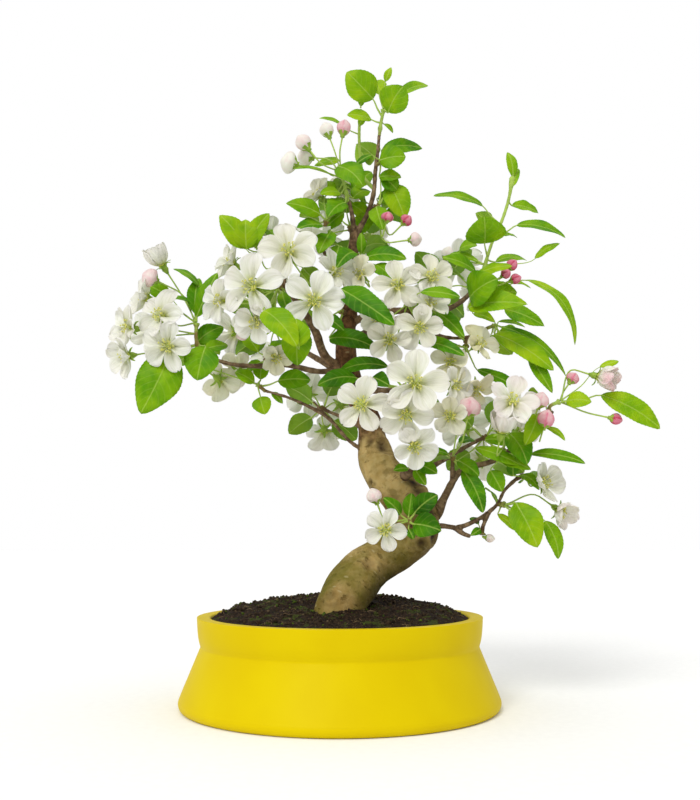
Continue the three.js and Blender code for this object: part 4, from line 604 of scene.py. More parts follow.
def surface(node, colour, roughness, gloss, relief, height, strength=1.0):
    """An opaque skin of that colour, roughness and gloss over a relief of height mm, and the
    relief's bump."""
    bump = node("Bump", None, Strength=strength, Distance=height * MM, Height=relief)
    skin = node("BsdfPrincipled", None, Base_Color=colour, Roughness=roughness, Normal=bump,
                Specular_IOR_Level=gloss)
    return skin, bump


def tissue(node, colour, through, share, roughness, relief, height, gloss=0.5):
    """Ends a material as thin living tissue: a soft surface that lets share of the light through,
    tinted by through, with relief of height mm."""
    skin, bump = surface(node, colour, roughness, gloss, relief, height)
    glow = node("BsdfTranslucent", None, Color=through, Normal=bump)
    node("OutputMaterial", None, node("MixShader", None, share, skin, glow))


def leaf_blade():
    """Crabapple leaf, a thin waxy blade: green that clouds from lime to deep, paler veins, a faint
    gleam, a greyer and duller underside, and yellow-green where light comes through."""
    node, place = begin("leaf_blade_waxy")
    cloud = node("MapRange", None, patches(node, place, 9), 0.0, 1.0, -0.17, 0.17)
    tone = node("Math", PLUS, node("Attribute", {"attribute_name": "tone"}), cloud)
    greens = [(0.0, "#225c00"), (0.3, "#4e9000"), (0.6, "#83b306"), (1.0, "#bcd612")]
    green = node("ValToRGB", {"stops": greens}, tone)
    vein = node("Math", FOLDED, node("Attribute", {"attribute_name": "vein"}), 0.5)
    side = node("MapRange", SOFT, vein, 0.0, 0.14, 1.0, 0.0)
    rib = node("MapRange", SOFT, node("Attribute", {"attribute_name": "rib"}), 0.15, 0.6, 1.0, 0.0)
    line = node("Math", LARGER, node("Math", TIMES, side, 0.13), node("Math", TIMES, rib, 0.5))
    upper = node("Mix", COLOURS, line, green, "#c3dc62")
    duller = node("Math", TIMES, node("Attribute", {"attribute_name": "under"}), 0.4)
    under = node("Mix", COLOURS, duller, upper, "#a3bf56")
    cells = node("TexVoronoi", None, Vector=place, Scale=1 / (1.1 * MM))
    relief = node("Math", LESS, node("Math", TIMES, cells, 0.12), node("Math", TIMES, side, 0.6))
    tissue(node, under, node("Mix", COLOURS, 0.5, under, "#d2ec00"), 0.32, 0.45, relief, 0.12, 0.14)


def stalk():
    """Young shoot and stalk: green and faintly downy, reddening and turning to brown bark where it
    is old."""
    node, place = begin("shoot_young_bark")
    cloud = node("MapRange", None, patches(node, place, 2.5), 0.0, 1.0, -0.13, 0.13)
    age = node("Math", PLUS, node("Attribute", {"attribute_name": "age"}), cloud)
    browns = [(0.0, "#b4cf5e"), (0.3, "#9db651"), (0.55, "#8a7540"), (1.0, "#5f4430")]
    colour = node("ValToRGB", {"stops": browns}, age)
    tissue(node, colour, "#c2dc6a", 0.1, 0.5, patches(node, place, 0.7), 0.12, 0.2)


def petal():
    """Blossom petal: thin, soft and matt. White, greenish at the claw, with faint lengthwise veins;
    creamy on some sprays, partly for age and partly as painted shade on blossoms deep in the crown,
    and flushed with the pink of the bud; light shines through."""
    node, place = begin("petal_silky")
    across = node("Attribute", {"attribute_name": "across"})
    along = node("Attribute", {"attribute_name": "along"})
    which = node("Attribute", {"attribute_name": "which"})
    fan = node("CombineXYZ", None, across, node("Math", TIMES, along, 0.2), which)
    streak = node("TexNoise", None, Vector=fan, Scale=10.0, Detail=2.0, Roughness=0.5)
    whites = [
        (0.0, "#c3d250"), (0.2, "#dfe796"), (0.38, "#f4f6ea"), (0.75, "#fbfbf9"), (1.0, "#fefefe")]
    white = node("ValToRGB", {"stops": whites}, along)
    vein = node("MapRange", SOFT, streak, 0.42, 0.72, 0.0, 0.45)
    veined = node("Mix", COLOURS, vein, white, "#cfd6b8")
    edge = node("MapRange", SOFT, node("Math", SIZE, across), 0.72, 1.0, 0.0, 0.8)
    veined = node("Mix", COLOURS, edge, veined, "#fefefe")
    # partly painted shade: a creamy tint on blossoms deep in the crown, partly also their age
    patchy = node("MapRange", None, patches(node, place, 9), 0.0, 1.0, 0.5, 1.0)
    cream = node("Math", TIMES, node("Attribute", {"attribute_name": "cream"}), patchy)
    veined = node("Mix", COLOURS, cream, veined, "#ece5b2")
    blush = node("Attribute", {"attribute_name": "blush"})
    flush = node("Math", TIMES, blush, patches(node, place, 7, light=0.62))
    colour = node("Mix", COLOURS, flush, veined, "#f2b6c2")
    tissue(node, colour, "#fbfcf4", 0.34, 0.55, streak, 0.4, 0.2)


def bud():
    """Bud petals, tightly wrapped: rose on the outside, deepest in young buds and along the
    overlaps."""
    node, place = begin("bud_petal_wrapped")
    cloud = node("MapRange", None, patches(node, place, 2.2), 0.0, 1.0, -0.07, 0.07)
    shade = node("Math", PLUS, node("Attribute", {"attribute_name": "blush"}), cloud)
    roses = [(0.0, "#f8f6ea"), (0.3, "#f3d2d2"), (0.6, "#e5879c"), (1.0, "#c12c52")]
    colour = node("ValToRGB", {"stops": roses}, shade)
    tissue(node, colour, colour, 0.2, 0.5, patches(node, place, 0.8), 0.1, 0.25)


def plain_tissue(name, first, second, size, height, share=0.2, roughness=0.6):
    """A soft plant tissue whose colour goes from first to second in blotches of size mm."""
    node, place = begin(name)
    blotch = patches(node, place, size)
    colour = node("Mix", COLOURS, blotch, first, second)
    tissue(node, colour, first, share, roughness, blotch, height, 0.25)


def bark():
    """Crabapple bark: smooth and khaki on the old trunk, with green algae, raised pale lenticels,
    dark scars and blotches, and painted shade on its right side and underside, away from the key
    light; rougher and red-brown higher up; grey-brown on the twigs. All of it is dull, as dry bark is."""
    node, place = begin("crabapple_bark")
    grain = node("Attribute", {"attribute_name": "grain"}).outputs["Vector"]
    height = node("SeparateXYZ", None, place).outputs["Z"]
    long_grain = node("Mapping", None, Vector=grain, Scale=(1, 1, 0.28))
    cross_grain = node("Mapping", None, Vector=grain, Scale=(0.45, 0.45, 1))
    broad = patches(node, grain, 10)
    fine = patches(node, grain, 1.8, detail=5.0)
    crack = patches(node, long_grain, 1.1, detail=4.0, rough=0.6, dark=0.36, light=0.5)
    crease = patches(node, cross_grain, 1.5, dark=0.3, light=0.42)
    lifted = node("Math", PLUS, height, node("MapRange", None, broad, 0.0, 1.0, -0.01, 0.01))
    old = node("Mix", COLOURS, broad, "#c8a96c", "#7a6226")
    old = node("Mix", COLOURS, node("Math", TIMES, fine, 0.3), old, "#cdbd88")
    old = node("Mix", COLOURS, node("MapRange", None, crease, 0.0, 1.0, 0.6, 0.0), old, "#55401a")
    blotch = patches(node, grain, 4.5, detail=5.0, rough=0.6, dark=0.5, light=0.64)
    old = node("Mix", COLOURS, node("Math", TIMES, blotch, 0.5), old, "#5e4c1c")
    old = node("Mix", COLOURS, node("MapRange", SOFT, lifted, 0.05, 0.105, 0.55, 0.0), old, "#6b5018")
    low = node("MapRange", SOFT, lifted, 0.065, 0.13, 0.9, 0.15)
    algae = node("Math", TIMES, patches(node, grain, 15, dark=0.32, light=0.62), low)
    old = node("Mix", COLOURS, algae, old, "#5f5c08")
    young = node("Mix", COLOURS, fine, "#523520", "#8a6040")
    young = node("Mix", COLOURS, node("MapRange", None, crack, 0.0, 1.0, 0.5, 0.0), young, "#2c1d12")
    high = node("MapRange", SOFT, lifted, 0.15, 0.172)
    stem = node("Mix", COLOURS, high, old, young)
    twig = node("Mix", COLOURS, fine, "#5c4734", "#957c5e")
    slim = node("MapRange", SOFT, node("Attribute", {"attribute_name": "girth"}), 1.7, 4.4, 1.0, 0.0)
    whole = node("Mix", COLOURS, slim, stem, twig)
    spots = node("TexVoronoi", None, Vector=cross_grain, Scale=1 / (5.5 * MM))
    lenticel = node("MapRange", SOFT, spots, 0.06, 0.16, 0.3, 0.0)
    whole = node("Mix", COLOURS, lenticel, whole, "#c9bb90")
    # painted shade: the bark is darkened in patches where it faces right and down, away from the key
    # light
    patchy = node("MapRange", None, broad, 0.0, 1.0, 0.9, 0.55)
    damp = node("Math", TIMES, node("Attribute", {"attribute_name": "damp"}), patchy)
    whole = node("Mix", COLOURS, damp, whole, "#3d3014")
    whole = node("Mix", COLOURS, node("Attribute", {"attribute_name": "scar"}), whole, "#2a1a0e")
    ridges = node("Mix", COLOURS, high, crease, crack)
    relief = node("Math", PLUS, ridges, node("Math", PLUS, node("Math", TIMES, fine, 0.6), lenticel))
    node("OutputMaterial", None, surface(node, whole, 0.72, 0.16, relief, 0.42)[0])


def soil():
    """Potting soil: wet peat and composted bark, nearly black, with paler grit and specks of moss."""
    node, place = begin("peat_soil_damp")
    lump = patches(node, place, 1.6, detail=6.0, rough=0.7)
    colour = node("Mix", COLOURS, lump, "#0a0604", "#3b2a1b")
    colour = node("Mix", COLOURS, node("Attribute", {"attribute_name": "tone"}), colour, "#6f5d45")
    speck = node("TexVoronoi", None, Vector=place, Scale=1 / (1.9 * MM))
    colour = node("Mix", COLOURS, node("MapRange", SOFT, speck, 0.1, 0.2, 0.5, 0.0), colour, "#8a7454")
    film = node("Math", TIMES, patches(node, place, 5, detail=5.0, dark=0.54, light=0.66), 0.7)
    colour = node("Mix", COLOURS, film, colour, "#43501a")
    node("OutputMaterial", None, surface(node, colour, 0.9, 0.15, lump, 0.5)[0])


def glaze():
    """Stoneware, turned and dipped in a bright yellow satin glaze: even colour with a faint
    cloudiness, an orange-peel skin that blurs its reflections, and bare fawn clay under the foot
    where it stood in the kiln."""
    node, place = begin("stoneware_yellow_satin_glaze")
    cloud = patches(node, place, 26, detail=2.0)
    yellow = node("Mix", COLOURS, cloud, "#d8c000", "#d4ba00")
    down = node("SeparateXYZ", None, node("NewGeometry").outputs["Normal"]).outputs["Z"]
    bare = node("MapRange", SOFT, down, -0.97, -0.93, 1.0, 0.0)
    clay = node("Mix", COLOURS, patches(node, place, 0.8), "#c9a77c", "#b4916a")
    colour = node("Mix", COLOURS, bare, yellow, clay)
    uneven = node("Math", PLUS, bare, node("Math", TIMES, cloud, 0.12))
    rough = node("MapRange", None, uneven, 0.0, 1.0, 0.45, 0.85)
    peel = node("TexNoise", None, Vector=place, Scale=1 / (2.2 * MM), Detail=1.0)
    node("OutputMaterial", None, surface(node, colour, rough, 0.05, peel, 0.06, 0.5)[0])


def screen_plastic():
    """Polypropylene mesh, moulded: black, faintly pebbled and half matt."""
    node, place = begin("polypropylene_mesh_moulded")
    pebble = patches(node, place, 0.5)
    colour = node("Mix", COLOURS, pebble, "#1b1b1b", "#262626")
    node("OutputMaterial", None, surface(node, colour, 0.5, 0.5, pebble, 0.05, 0.6)[0])


def studio_floor():
    """Painted board, rolled: pale and matt."""
    node, place = begin("board_painted_pale")
    colour = node("Mix", COLOURS, patches(node, place, 3), "#f6f6f4", "#f9f9f7")
    skin = node("BsdfPrincipled", None, Base_Color=colour, Roughness=0.85, Specular_IOR_Level=0.1)
    node("OutputMaterial", None, skin)


for finish in (leaf_blade, stalk, petal, bud, bark, soil, glaze, screen_plastic, studio_floor):
    finish()
plain_tissue("stamen_filament", "#f2f5c4", "#e4ec9a", 3, 0.05)
plain_tissue("stamen_anther", "#f1ef96", "#dcd65e", 1, 0.08, roughness=0.75)
plain_tissue("blossom_heart", "#dbe26a", "#bdcf48", 1.5, 0.08)
plain_tissue("sepal_downy", "#a9c44e", "#8cb03c", 2, 0.1)
plain_tissue("moss_cushion", "#5b6f1d", "#36470f", 1.2, 0.5, roughness=0.9)
plain_tissue("root_fibre", "#9a8260", "#5e4a30", 4, 0.1, share=0.05, roughness=0.85)


# ---------------------------------------------------------------- wood
def axis_rows(rows, count):
    """A limb's axis and radius in count places: its rows [x, z, depth, radius] moved back and
    joined by a smooth path."""
    return smooth([[*seen(*row[:3]), row[3]] for row in rows], count)


LIMB_STEP = 1.3  # mm between the places of a branch's axis
LIMB_GAP = 400  # mm from limb to limb in the bark laid straight, so that no two have the same grain
JOINT_GAP = 11  # mm between the swollen joints of a branch
BARK_VOXEL = 0.68  # mm
TRUNK_SIDES = 48
LIMB_SIDES = 18
TRUNK_PLACES = 230
LIMBS = {"trunk": axis_rows(TRUNK, TRUNK_PLACES)}
for name, (start_r, end_r, places) in BRANCHES.items():
    length = sum(math.dist(seen(*a), seen(*b)) for a, b in zip(places, places[1:]))
    radii = np.linspace(start_r, end_r, len(places))
    rows = [[*p, r] for p, r in zip(places, radii)]
    LIMBS[name] = axis_rows(rows, max(6, round(length / LIMB_STEP)))
AXIS = np.concatenate([limb[:, :3] for limb in LIMBS.values()])
GIRTH = np.concatenate([limb[:, 3] for limb in LIMBS.values()])


def nearest_limb(points):
    """For each point the place in AXIS with the least distance to its skin, and that distance."""
    best, gap = [], []
    for some in np.array_split(points, max(1, len(points) // 4000)):
        away = np.linalg.norm(some[:, None] - AXIS, axis=-1) - GIRTH
        best.append(np.argmin(away, axis=1))
        gap.append(away.min(axis=1))
    return np.concatenate(best), np.concatenate(gap)


def grain_of(points):
    """Places on the bark laid straight: (r cos a, r sin a, distance along the limb) in mm, and the
    limb's radius there."""
    at, _ = nearest_limb(points)
    ways, firsts, seconds, longs = [], [], [], []
    for start, limb in enumerate(LIMBS.values()):
        way, first, second = frames(limb[:, :3])
        step = np.linalg.norm(np.diff(limb[:, :3], axis=0), axis=1)
        ways.append(way)
        firsts.append(first)
        seconds.append(second)
        longs.append(np.append(0, np.cumsum(step)) + LIMB_GAP * start)
    way, first, second, along = map(np.concatenate, (ways, firsts, seconds, longs))
    arm = points - AXIS[at]
    rise = (arm * way[at]).sum(-1)
    across = [(arm * side[at]).sum(-1) for side in (first, second)]
    return np.stack([*across, along[at] + rise], -1), GIRTH[at]


# Burls, pruning scars and torn bark on the trunk's skin: [x, z, depth, size in mm, how dark]. The
# last two are at the back.
SCARS = [
    [17.6, 82.6, -24.5, 6.5, 0.3], [-5.6, 64.6, -34.5, 5.5, 0.25], [49.5, 96.5, -18, 5.5, 0.9],
    [45, 93, -20, 4, 0.5], [19.3, 134, -9, 3.5, 0.7], [22, 132.5, -10.5, 2.6, 0.6],
    [19, 158.7, -5.5, 4.5, 0.8], [26.5, 155.5, -5.5, 9, 0.9], [14, 178, -4, 3.5, 0.8],
    [33, 118, -16, 3.5, 0.4], [9, 196, -5, 3, 0.8], [5, 226, -6, 3, 0.8], [45, 134, -11, 11, 1],
    [47.4, 127.7, -14, 8, 0.9], [43.5, 139, -10, 6, 1], [56.5, 115.4, -14, 10, 0.9],
    [54, 113, -16.5, 7, 0.8], [57.6, 100.2, -14, 8, 1], [40, 121, 12, 5, 0.8], [14, 100, 10, 4, 0.7],
]


def wood_skin():
    """Trunk and branches as round tubes, flared where they leave older wood, made one skin by a
    voxel remesh. The trunk's section swells by cosines of the angle that turn as it rises: three
    roots at its foot, then two and three flat ribs. The skin's points move out by noise in the
    straightened grain, and in and out at the scars: point + normal (broad + fine + scar rim - scar
    pit)."""
    parts = []
    for name, limb in LIMBS.items():
        radii = limb[:, 3].copy()
        steps = np.append(0, np.cumsum(np.linalg.norm(np.diff(limb[:, :3], axis=0), axis=1)))
        around = TRUNK_SIDES if name == "trunk" else LIMB_SIDES
        if name != "trunk":
            radii *= 1 + 0.5 * np.exp(-((steps / (2.2 * radii[0])) ** 2))  # the collar at its foot
            joints = np.maximum(0, np.sin(steps * 2 * np.pi / JOINT_GAP + len(name))) ** 6
            radii += 0.25 * joints
        sections = tube(limb[:, :3], radii, around)
        if name == "trunk":
            a = np.arange(around) * 2 * np.pi / around
            share = (steps / steps[-1])[:, None]
            relief = 0.1 * np.maximum(0, 1 - share / 0.14) * np.cos(3 * a + 0.6)
            relief = relief + 0.035 * np.sin(2 * a + 26 * share) + 0.03 * np.sin(3 * a - 40 * share)
            sections = limb[:, None, :3] + (sections - limb[:, None, :3]) * (1 + relief)[..., None]
        parts.append(solid(sections, "crabapple_bark"))
    rough = placed("wood_rough", mesh_of("wood_rough", parts))
    remesh = rough.modifiers.new("skin", "REMESH")
    remesh.mode, remesh.voxel_size = "VOXEL", BARK_VOXEL * MM
    soften = rough.modifiers.new("soften", "SMOOTH")
    soften.factor, soften.iterations = 0.5, 4
    mesh = baked(rough)
    bpy.data.objects.remove(rough)
    points = np.empty(3 * len(mesh.vertices), np.float32)
    normals = np.empty(3 * len(mesh.vertices), np.float32)
    mesh.vertices.foreach_get("co", points)
    mesh.vertices.foreach_get("normal", normals)
    points, normals = points.reshape(-1, 3) / MM, normals.reshape(-1, 3)
    grain, girth = grain_of(points)
    depth = np.clip(girth / 12, 0.12, 1)
    # painted shade: how far each point faces right and down, away from the key light
    damp = np.clip(normals @ unit(np.array([0.75, 0.1, -0.65])), 0, 1) ** 1.2
    broad = roughness(grain * [1, 1, 0.7], 13, 2, 3)
    fine = 0.16 * roughness(grain * [1, 1, 0.5], 3.0, 3, 11)
    lift = depth * broad + (0.35 + 0.65 * depth) * fine
    scar = np.zeros(len(points))
    for x, z, back, size, dark in SCARS:
        away = np.linalg.norm(points - seen(x, z, back), axis=1) / size
        scar = np.maximum(scar, dark * np.exp(-((away / 0.5) ** 2)))
        rim = 0.16 * np.exp(-(((away - 0.75) / 0.3) ** 2))
        lift += size * (rim - 0.2 * np.exp(-((away / 0.45) ** 2)))
    points += normals * lift[:, None]
    mesh.vertices.foreach_set("co", (points * MM).astype(np.float32).ravel())
    mesh.polygons.foreach_set("use_smooth", np.ones(len(mesh.polygons), bool))
    for name, values in (("girth", girth), ("scar", scar), ("damp", damp), ("grain", grain * MM)):
        mark(mesh, name, values)
    mesh.materials.clear()
    mesh.materials.append(MATERIALS["crabapple_bark"])
    return mesh


piece("bark_trunk_and_branches", wood_skin(), "bark", "trunk_and_branches")


# ---------------------------------------------------------------- leaves
ACROSS = np.array([1, 0.82, 0.6, 0.36, 0.14, 0, -0.14, -0.36, -0.6, -0.82, -1])
RING = np.concatenate([ACROSS, ACROSS[::-1]])  # over the upper face, and back under the lower
UPPER = np.repeat([1.0, -1.0], len(ACROSS))
LEAF_T = 0.28  # mm
TOOTH = 2.2  # mm between the teeth of a leaf's rim
VEIN_GAP = 4.2  # mm between its side veins


def leaf(start, row, tone, dice):
    """A blade and its stalk. Across the blade v runs from -1 to 1, along it u from 0 to 1. Point =
    base + along L u + side x + normal h, with x = v (W / 2) sin(pi u^low)^full and a saw-toothed
    rim, and h = arch 4 u (1 - u) L - droop u³ L + fold |v| - curl v² + ripples at the rim +
    quilting between the veins - a groove along the middle. The blade then twists along its length,
    and its middle sways to one side."""
    base, tip = seen(*row[:3]), seen(*row[3:6])
    width, face, arch = row[6], math.radians(row[7]), row[9] if len(row) > 9 else 0.1
    tone = row[10] if len(row) > 10 else tone
    full, low = dice.uniform([0.58, 0.8], [0.74, 0.92])
    size = np.linalg.norm(tip - base)
    along = (tip - base) / size
    normal = np.array([0, -math.sin(face), math.cos(face)])
    normal = unit(normal - along * (normal @ along))
    side = np.cross(normal, along)
    teeth = int(np.clip(round(size / TOOTH), 6, 16))
    notch = np.arange(teeth) / teeth
    u = np.concatenate([[0.0], 0.02 + 0.965 * np.stack([notch, notch + 0.7 / teeth], 1).ravel(), [1.0]])
    tooth = np.concatenate([[0], np.tile([-0.25, 1.0], teeth), [0]])
    tooth = tooth * np.sin(np.pi * np.minimum(u, 0.999)) ** 0.3
    half = width / 2 * np.sin(np.pi * np.clip(u, 0.001, 0.999) ** low) ** full
    half[0], half[-1] = 0.4, 0.06
    v, u, half = RING[None, :], u[:, None], half[:, None]
    thick = LEAF_T * (1 - 0.55 * v**2) * np.minimum(1, 0.3 + half / 2)
    x = v * half + np.sign(v) * np.abs(v) ** 8 * (0.22 * min(1, width / 16) * tooth)[:, None]
    pairs = np.clip(round(size / VEIN_GAP), 4, 8)
    vein = pairs * (u * 1.05 - 0.34 * width / size * (np.abs(v) + 0.35 * v**2)) + 3
    fold, curl, ripple, turn, sway, droop = dice.uniform(
        [0.1, 0.0, 0.012, -0.35, -0.05, 0.0], [0.42, 0.22, 0.04, 0.35, 0.05, 0.07])
    fold, curl, ripple = np.array([fold, curl, ripple]) * min(1, size / (1.4 * width))
    waves, phase = dice.uniform(1.5, 2.6), dice.uniform(0, 6.28, 2)
    flutter = np.sin(2 * np.pi * waves * u + np.where(v > 0, phase[0], phase[1]))
    h = half * (fold * np.sqrt(v**2 + 0.01) - curl * v**2) + ripple * width * v**2 * flutter
    h = h + 0.013 * width * (1 - v**2) * np.sin(np.pi * vein) ** 2
    h = h - 0.02 * width * np.exp(-((v / 0.1) ** 2)) * np.sin(np.pi * u)
    angle = turn * (u - 0.5)
    out_x = x * np.cos(angle) - (h + UPPER * thick / 2) * np.sin(angle)
    out_h = x * np.sin(angle) + (h + UPPER * thick / 2) * np.cos(angle)
    out_x = out_x + sway * size * 4 * u * (1 - u)
    out_h = out_h + size * (4 * arch * u * (1 - u) - droop * u**3)
    points = base + along * (size * u)[..., None] + side * out_x[..., None] + normal * out_h[..., None]
    blade = solid(points, "leaf_blade_waxy", vein=vein, rib=np.abs(v) * half, under=UPPER < 0,
                  tone=tone)
    s = np.linspace(0, 0.94, 7)
    keel = base + along * (size * s)[:, None] + side * (sway * size * 4 * s * (1 - s))[:, None]
    lift = size * (4 * arch * s * (1 - s) - droop * s**3) - 0.02 * width * np.sin(np.pi * s)
    keel += normal * (lift + 0.08 * half.max() * fold)[:, None]
    sag = (start + base) / 2 + np.array([0, 0, -0.05]) * math.dist(start, base)
    path = smooth(np.concatenate([[start, sag], keel]), 18)
    run = np.linspace(0, 1, 18)
    rib = np.interp(run, [0, 0.25, 0.4, 1], [0.75, 0.5, 0.44, 0.1]) * min(1, 0.55 + width / 30)
    stalk_age = 0.12 * (1 - run)[:, None]
    return [blade, solid(tube(path - normal * 0.15, rib), "shoot_young_bark", age=stalk_age)]


# ---------------------------------------------------------------- blossoms and buds
SPIN = 2.4  # the golden angle in radians, so that no two blossoms or stamens stand alike
HEART = 0.16  # height of a blossom's heart, of its radius
CALYX = 5.0  # mm long
CALYX_CUP = [[0, 0.8], [1.2, 1.3], [2.8, 2.1], [4.2, 2.0], [5.2, 2.3], [5.9, 1.9]]  # height, radius: mm
STALK_R = 0.62  # mm
PETAL_T = 0.25  # mm
STYLES = 5
STAMENS = 18
SEPAL = 5.5  # mm long
SEPAL_FOOT = 4.8  # mm up the calyx
SEPAL_LEAN = 1.15
GAP_LONE, GAP_GROUP = 0.4, 1.3  # mm between a calyx and the middle of its blossom
BUD_SIDES = 30
# A bud's outline: height and radius, of its own length and radius.
BUD_FORM = np.array([
    [0.1, 0.28], [0.17, 0.5], [0.25, 0.71], [0.35, 0.9], [0.46, 1.01], [0.58, 1.02],
    [0.7, 0.91], [0.81, 0.71], [0.9, 0.47], [0.97, 0.22], [1.0, 0.06],
])


def blossom_axes(row, index):
    """A blossom's centre, the way it faces, two directions across it, and its radius."""
    centre, forward = seen(*row[:3]), facing(row[3], row[4])
    helper = np.array([0, 1, 0]) if abs(forward[2]) > 0.9 else np.array([0, 0, 1])
    flat = unit(np.cross(helper, forward))
    turn = SPIN * index
    flat = flat * math.cos(turn) + np.cross(forward, flat) * math.sin(turn)
    return centre, forward, flat, np.cross(forward, flat), row[5] / 2 * (1 + row[2] / AWAY)


def petals(row, index, blush, cream, dice):
    """Five petals. On each, v runs across from -1 to 1 and u along from the claw to the rim, in
    radii. With way = cos(cup) out + sin(cup) forward and face = cos(cup) forward - sin(cup) out,
    point = centre + R (way u + aside v half(u) + face rise), where half = 0.34 sin(pi u²)^0.6, and
    rise = belly sin(pi u) + lift u + spoon v² + rim ripple + rim curl + twist + pleats, the deepest
    in the middle. In a half-open blossom, wrapped = 1, the petal's width goes round the axis, with
    one side over the next petal."""
    centre, forward, flat, over, radius = blossom_axes(row, index)
    u = np.array([0.03, 0.1, 0.19, 0.3, 0.42, 0.54, 0.65, 0.75, 0.84, 0.91, 0.96, 0.99])[None, :, None]
    v = RING[None, None, :]
    k = np.arange(5)[:, None, None]
    turn, size, wide, lift, spoon, rim, twist, dent = dice.uniform(
        [-0.11, 0.93, 0.86, -0.14, 0.1, -0.6, -0.35, 0.0],
        [0.11, 1.04, 1.06, 0.18, 0.36, 0.35, 0.35, 0.07], (5, 8)).T[..., None, None]
    phase = dice.uniform(0, 6.28, (3, 5))[..., None, None]
    angle = 2 * np.pi * k / 5 + turn
    cup = math.radians(row[6])
    wrapped = np.clip((row[6] - 38) / 14, 0, 1)
    calm = 1 - 0.85 * wrapped
    half = 0.34 * wide * np.sin(np.pi * u**2) ** 0.6
    reach = size * u * (1 - dent * np.exp(-((v / 0.22) ** 2)) * u**6)
    across = half * v * (1 + 0.25 * math.sin(cup))
    rise = (0.1 - 0.32 * math.sin(cup)) * np.sin(np.pi * u) + lift * u
    rise = rise + calm * 0.05 * np.abs(v) * np.sin(1.7 * index + 2.3 * k + 3 * v)
    rise = rise + calm * spoon * v**2 * np.sin(np.pi * u**0.7)
    rise = rise + calm * rim * np.maximum(0, u - 0.62) ** 2
    rise = rise + calm * 0.03 * np.abs(v) ** 3 * np.sin(11 * u + phase[0] + 2 * np.sign(v))
    rise = rise + calm * 0.03 * u**4 * np.sin(4.5 * v + phase[1])
    rise = rise + 0.038 * np.sin(np.pi * u) * np.cos(8 * v + phase[2])
    rise = rise - 0.05 * np.exp(-((v / 0.13) ** 2)) * np.sin(np.pi * u) + calm * twist * across * u
    rise = rise + UPPER * (PETAL_T / 2) / radius * (1 - 0.5 * v**2)
    out = np.cos(angle)[..., None] * flat + np.sin(angle)[..., None] * over
    aside = -np.sin(angle)[..., None] * flat + np.cos(angle)[..., None] * over
    from_axis = reach * math.cos(cup) - rise * math.sin(cup) + 0.06 * wrapped * v * u
    ahead = reach * math.sin(cup) + rise * math.cos(cup)
    round_it = wrapped * across / np.maximum(from_axis, 0.1)
    out = np.cos(round_it)[..., None] * out + np.sin(round_it)[..., None] * aside
    points = out * from_axis[..., None] + forward * ahead[..., None]
    points = points + aside * ((1 - wrapped) * across)[..., None]
    return solid(centre + radius * points, "petal_silky", along=u, across=v, which=0.37 * index + k,
                 blush=blush * (0.5 + 0.5 * u**2) * (1 + 0.4 * (UPPER < 0)), cream=cream)


def stamens(row, index, dice):
    """A green heart, with styles and stamens. Stamen i leaves the heart at the golden angle times i
    and leans out more the further out it stands: foot + length s (cos(lean) forward + sin(lean)
    out)."""
    centre, forward, flat, over, radius = blossom_axes(row, index)
    foot = centre + forward * (HEART * radius - 1.2)
    count = STYLES + STAMENS
    order = np.arange(count)
    angle = SPIN * order + dice.uniform(-0.3, 0.3, count)
    lean = np.where(order < STYLES, 0.12, 0.15 + 0.6 * np.sqrt(order / count))
    lean = lean + dice.uniform(-0.1, 0.1, count)
    reach = radius * np.where(order < STYLES, 0.22, dice.uniform(0.2, 0.34, count))
    out = np.cos(angle)[:, None] * flat + np.sin(angle)[:, None] * over
    s = np.array([0, 0.35, 0.7, 1.0])[:, None]
    bend = lean[:, None, None] * (1.25 - 0.45 * s)
    path = foot + out[:, None] * (0.5 + 0.05 * order)[:, None, None]
    path = path + reach[:, None, None] * s * (np.cos(bend) * forward + np.sin(bend) * out[:, None])
    parts = [solid(tube(path, np.array([0.3, 0.26, 0.22, 0.18]), 4), "stamen_filament")]
    tips, ways = path[STYLES:, -1], unit(path[STYLES:, -1] - path[STYLES:, -2])
    ways = unit(np.cross(ways, unit(dice.normal(size=(STAMENS, 3)))))
    s = np.array([-1, -0.75, 0, 0.75, 1])[:, None] * 0.65
    anther = tips[:, None] + ways[:, None] * s
    parts.append(solid(tube(anther, np.array([0.1, 0.32, 0.4, 0.32, 0.1]), 6), "stamen_anther"))
    dome = [[0, 1.2], [0.6, 2.7], [1.2, 2.5], [1.7, 1.8], [2.1, 0.6]]
    base = centre + forward * (HEART * radius - 2.2)
    parts.append(solid(swelling(base, forward, dome, 12), "blossom_heart"))
    return parts


def sepals(foot, forward, size, spread, dice):
    """Five narrow sepals, v across from -1 to 1 and u along. Point = foot + size (u (cos(lean) forward
    + sin(lean) out) + 0.24 v (1 - u)^0.6 (0.5 + u)^0.2 aside)."""
    _, flat, over = (a[0] for a in frames(np.array([foot, foot + forward])))
    u = np.array([0.02, 0.25, 0.5, 0.75, 0.97])[None, :, None]
    v = np.array([1, 0, -1, -1, 0, 1.0])[None, None, :]
    face = np.array([1, 1, 1, -1, -1, -1.0])
    angle = (np.arange(5) * 2 * np.pi / 5 + 0.6 + dice.uniform(-0.15, 0.15, 5))[:, None, None]
    lean = spread * (0.6 + 0.7 * u) + dice.uniform(-0.15, 0.15, 5)[:, None, None]
    out = np.cos(angle)[..., None] * flat + np.sin(angle)[..., None] * over
    aside = -np.sin(angle)[..., None] * flat + np.cos(angle)[..., None] * over
    tall = np.cos(lean) * u + 0 * v
    wide = np.sin(lean) * u + 0.06 * v**2
    thick = 0.14 / size * face
    points = forward * (tall + thick * np.sin(lean))[..., None]
    points = points + out * (0.25 + wide - thick * np.cos(lean))[..., None]
    points = points + aside * (0.24 * v * (1 - u) ** 0.6 * (0.5 + u) ** 0.2)[..., None]
    return solid(foot + size * points, "sepal_downy")


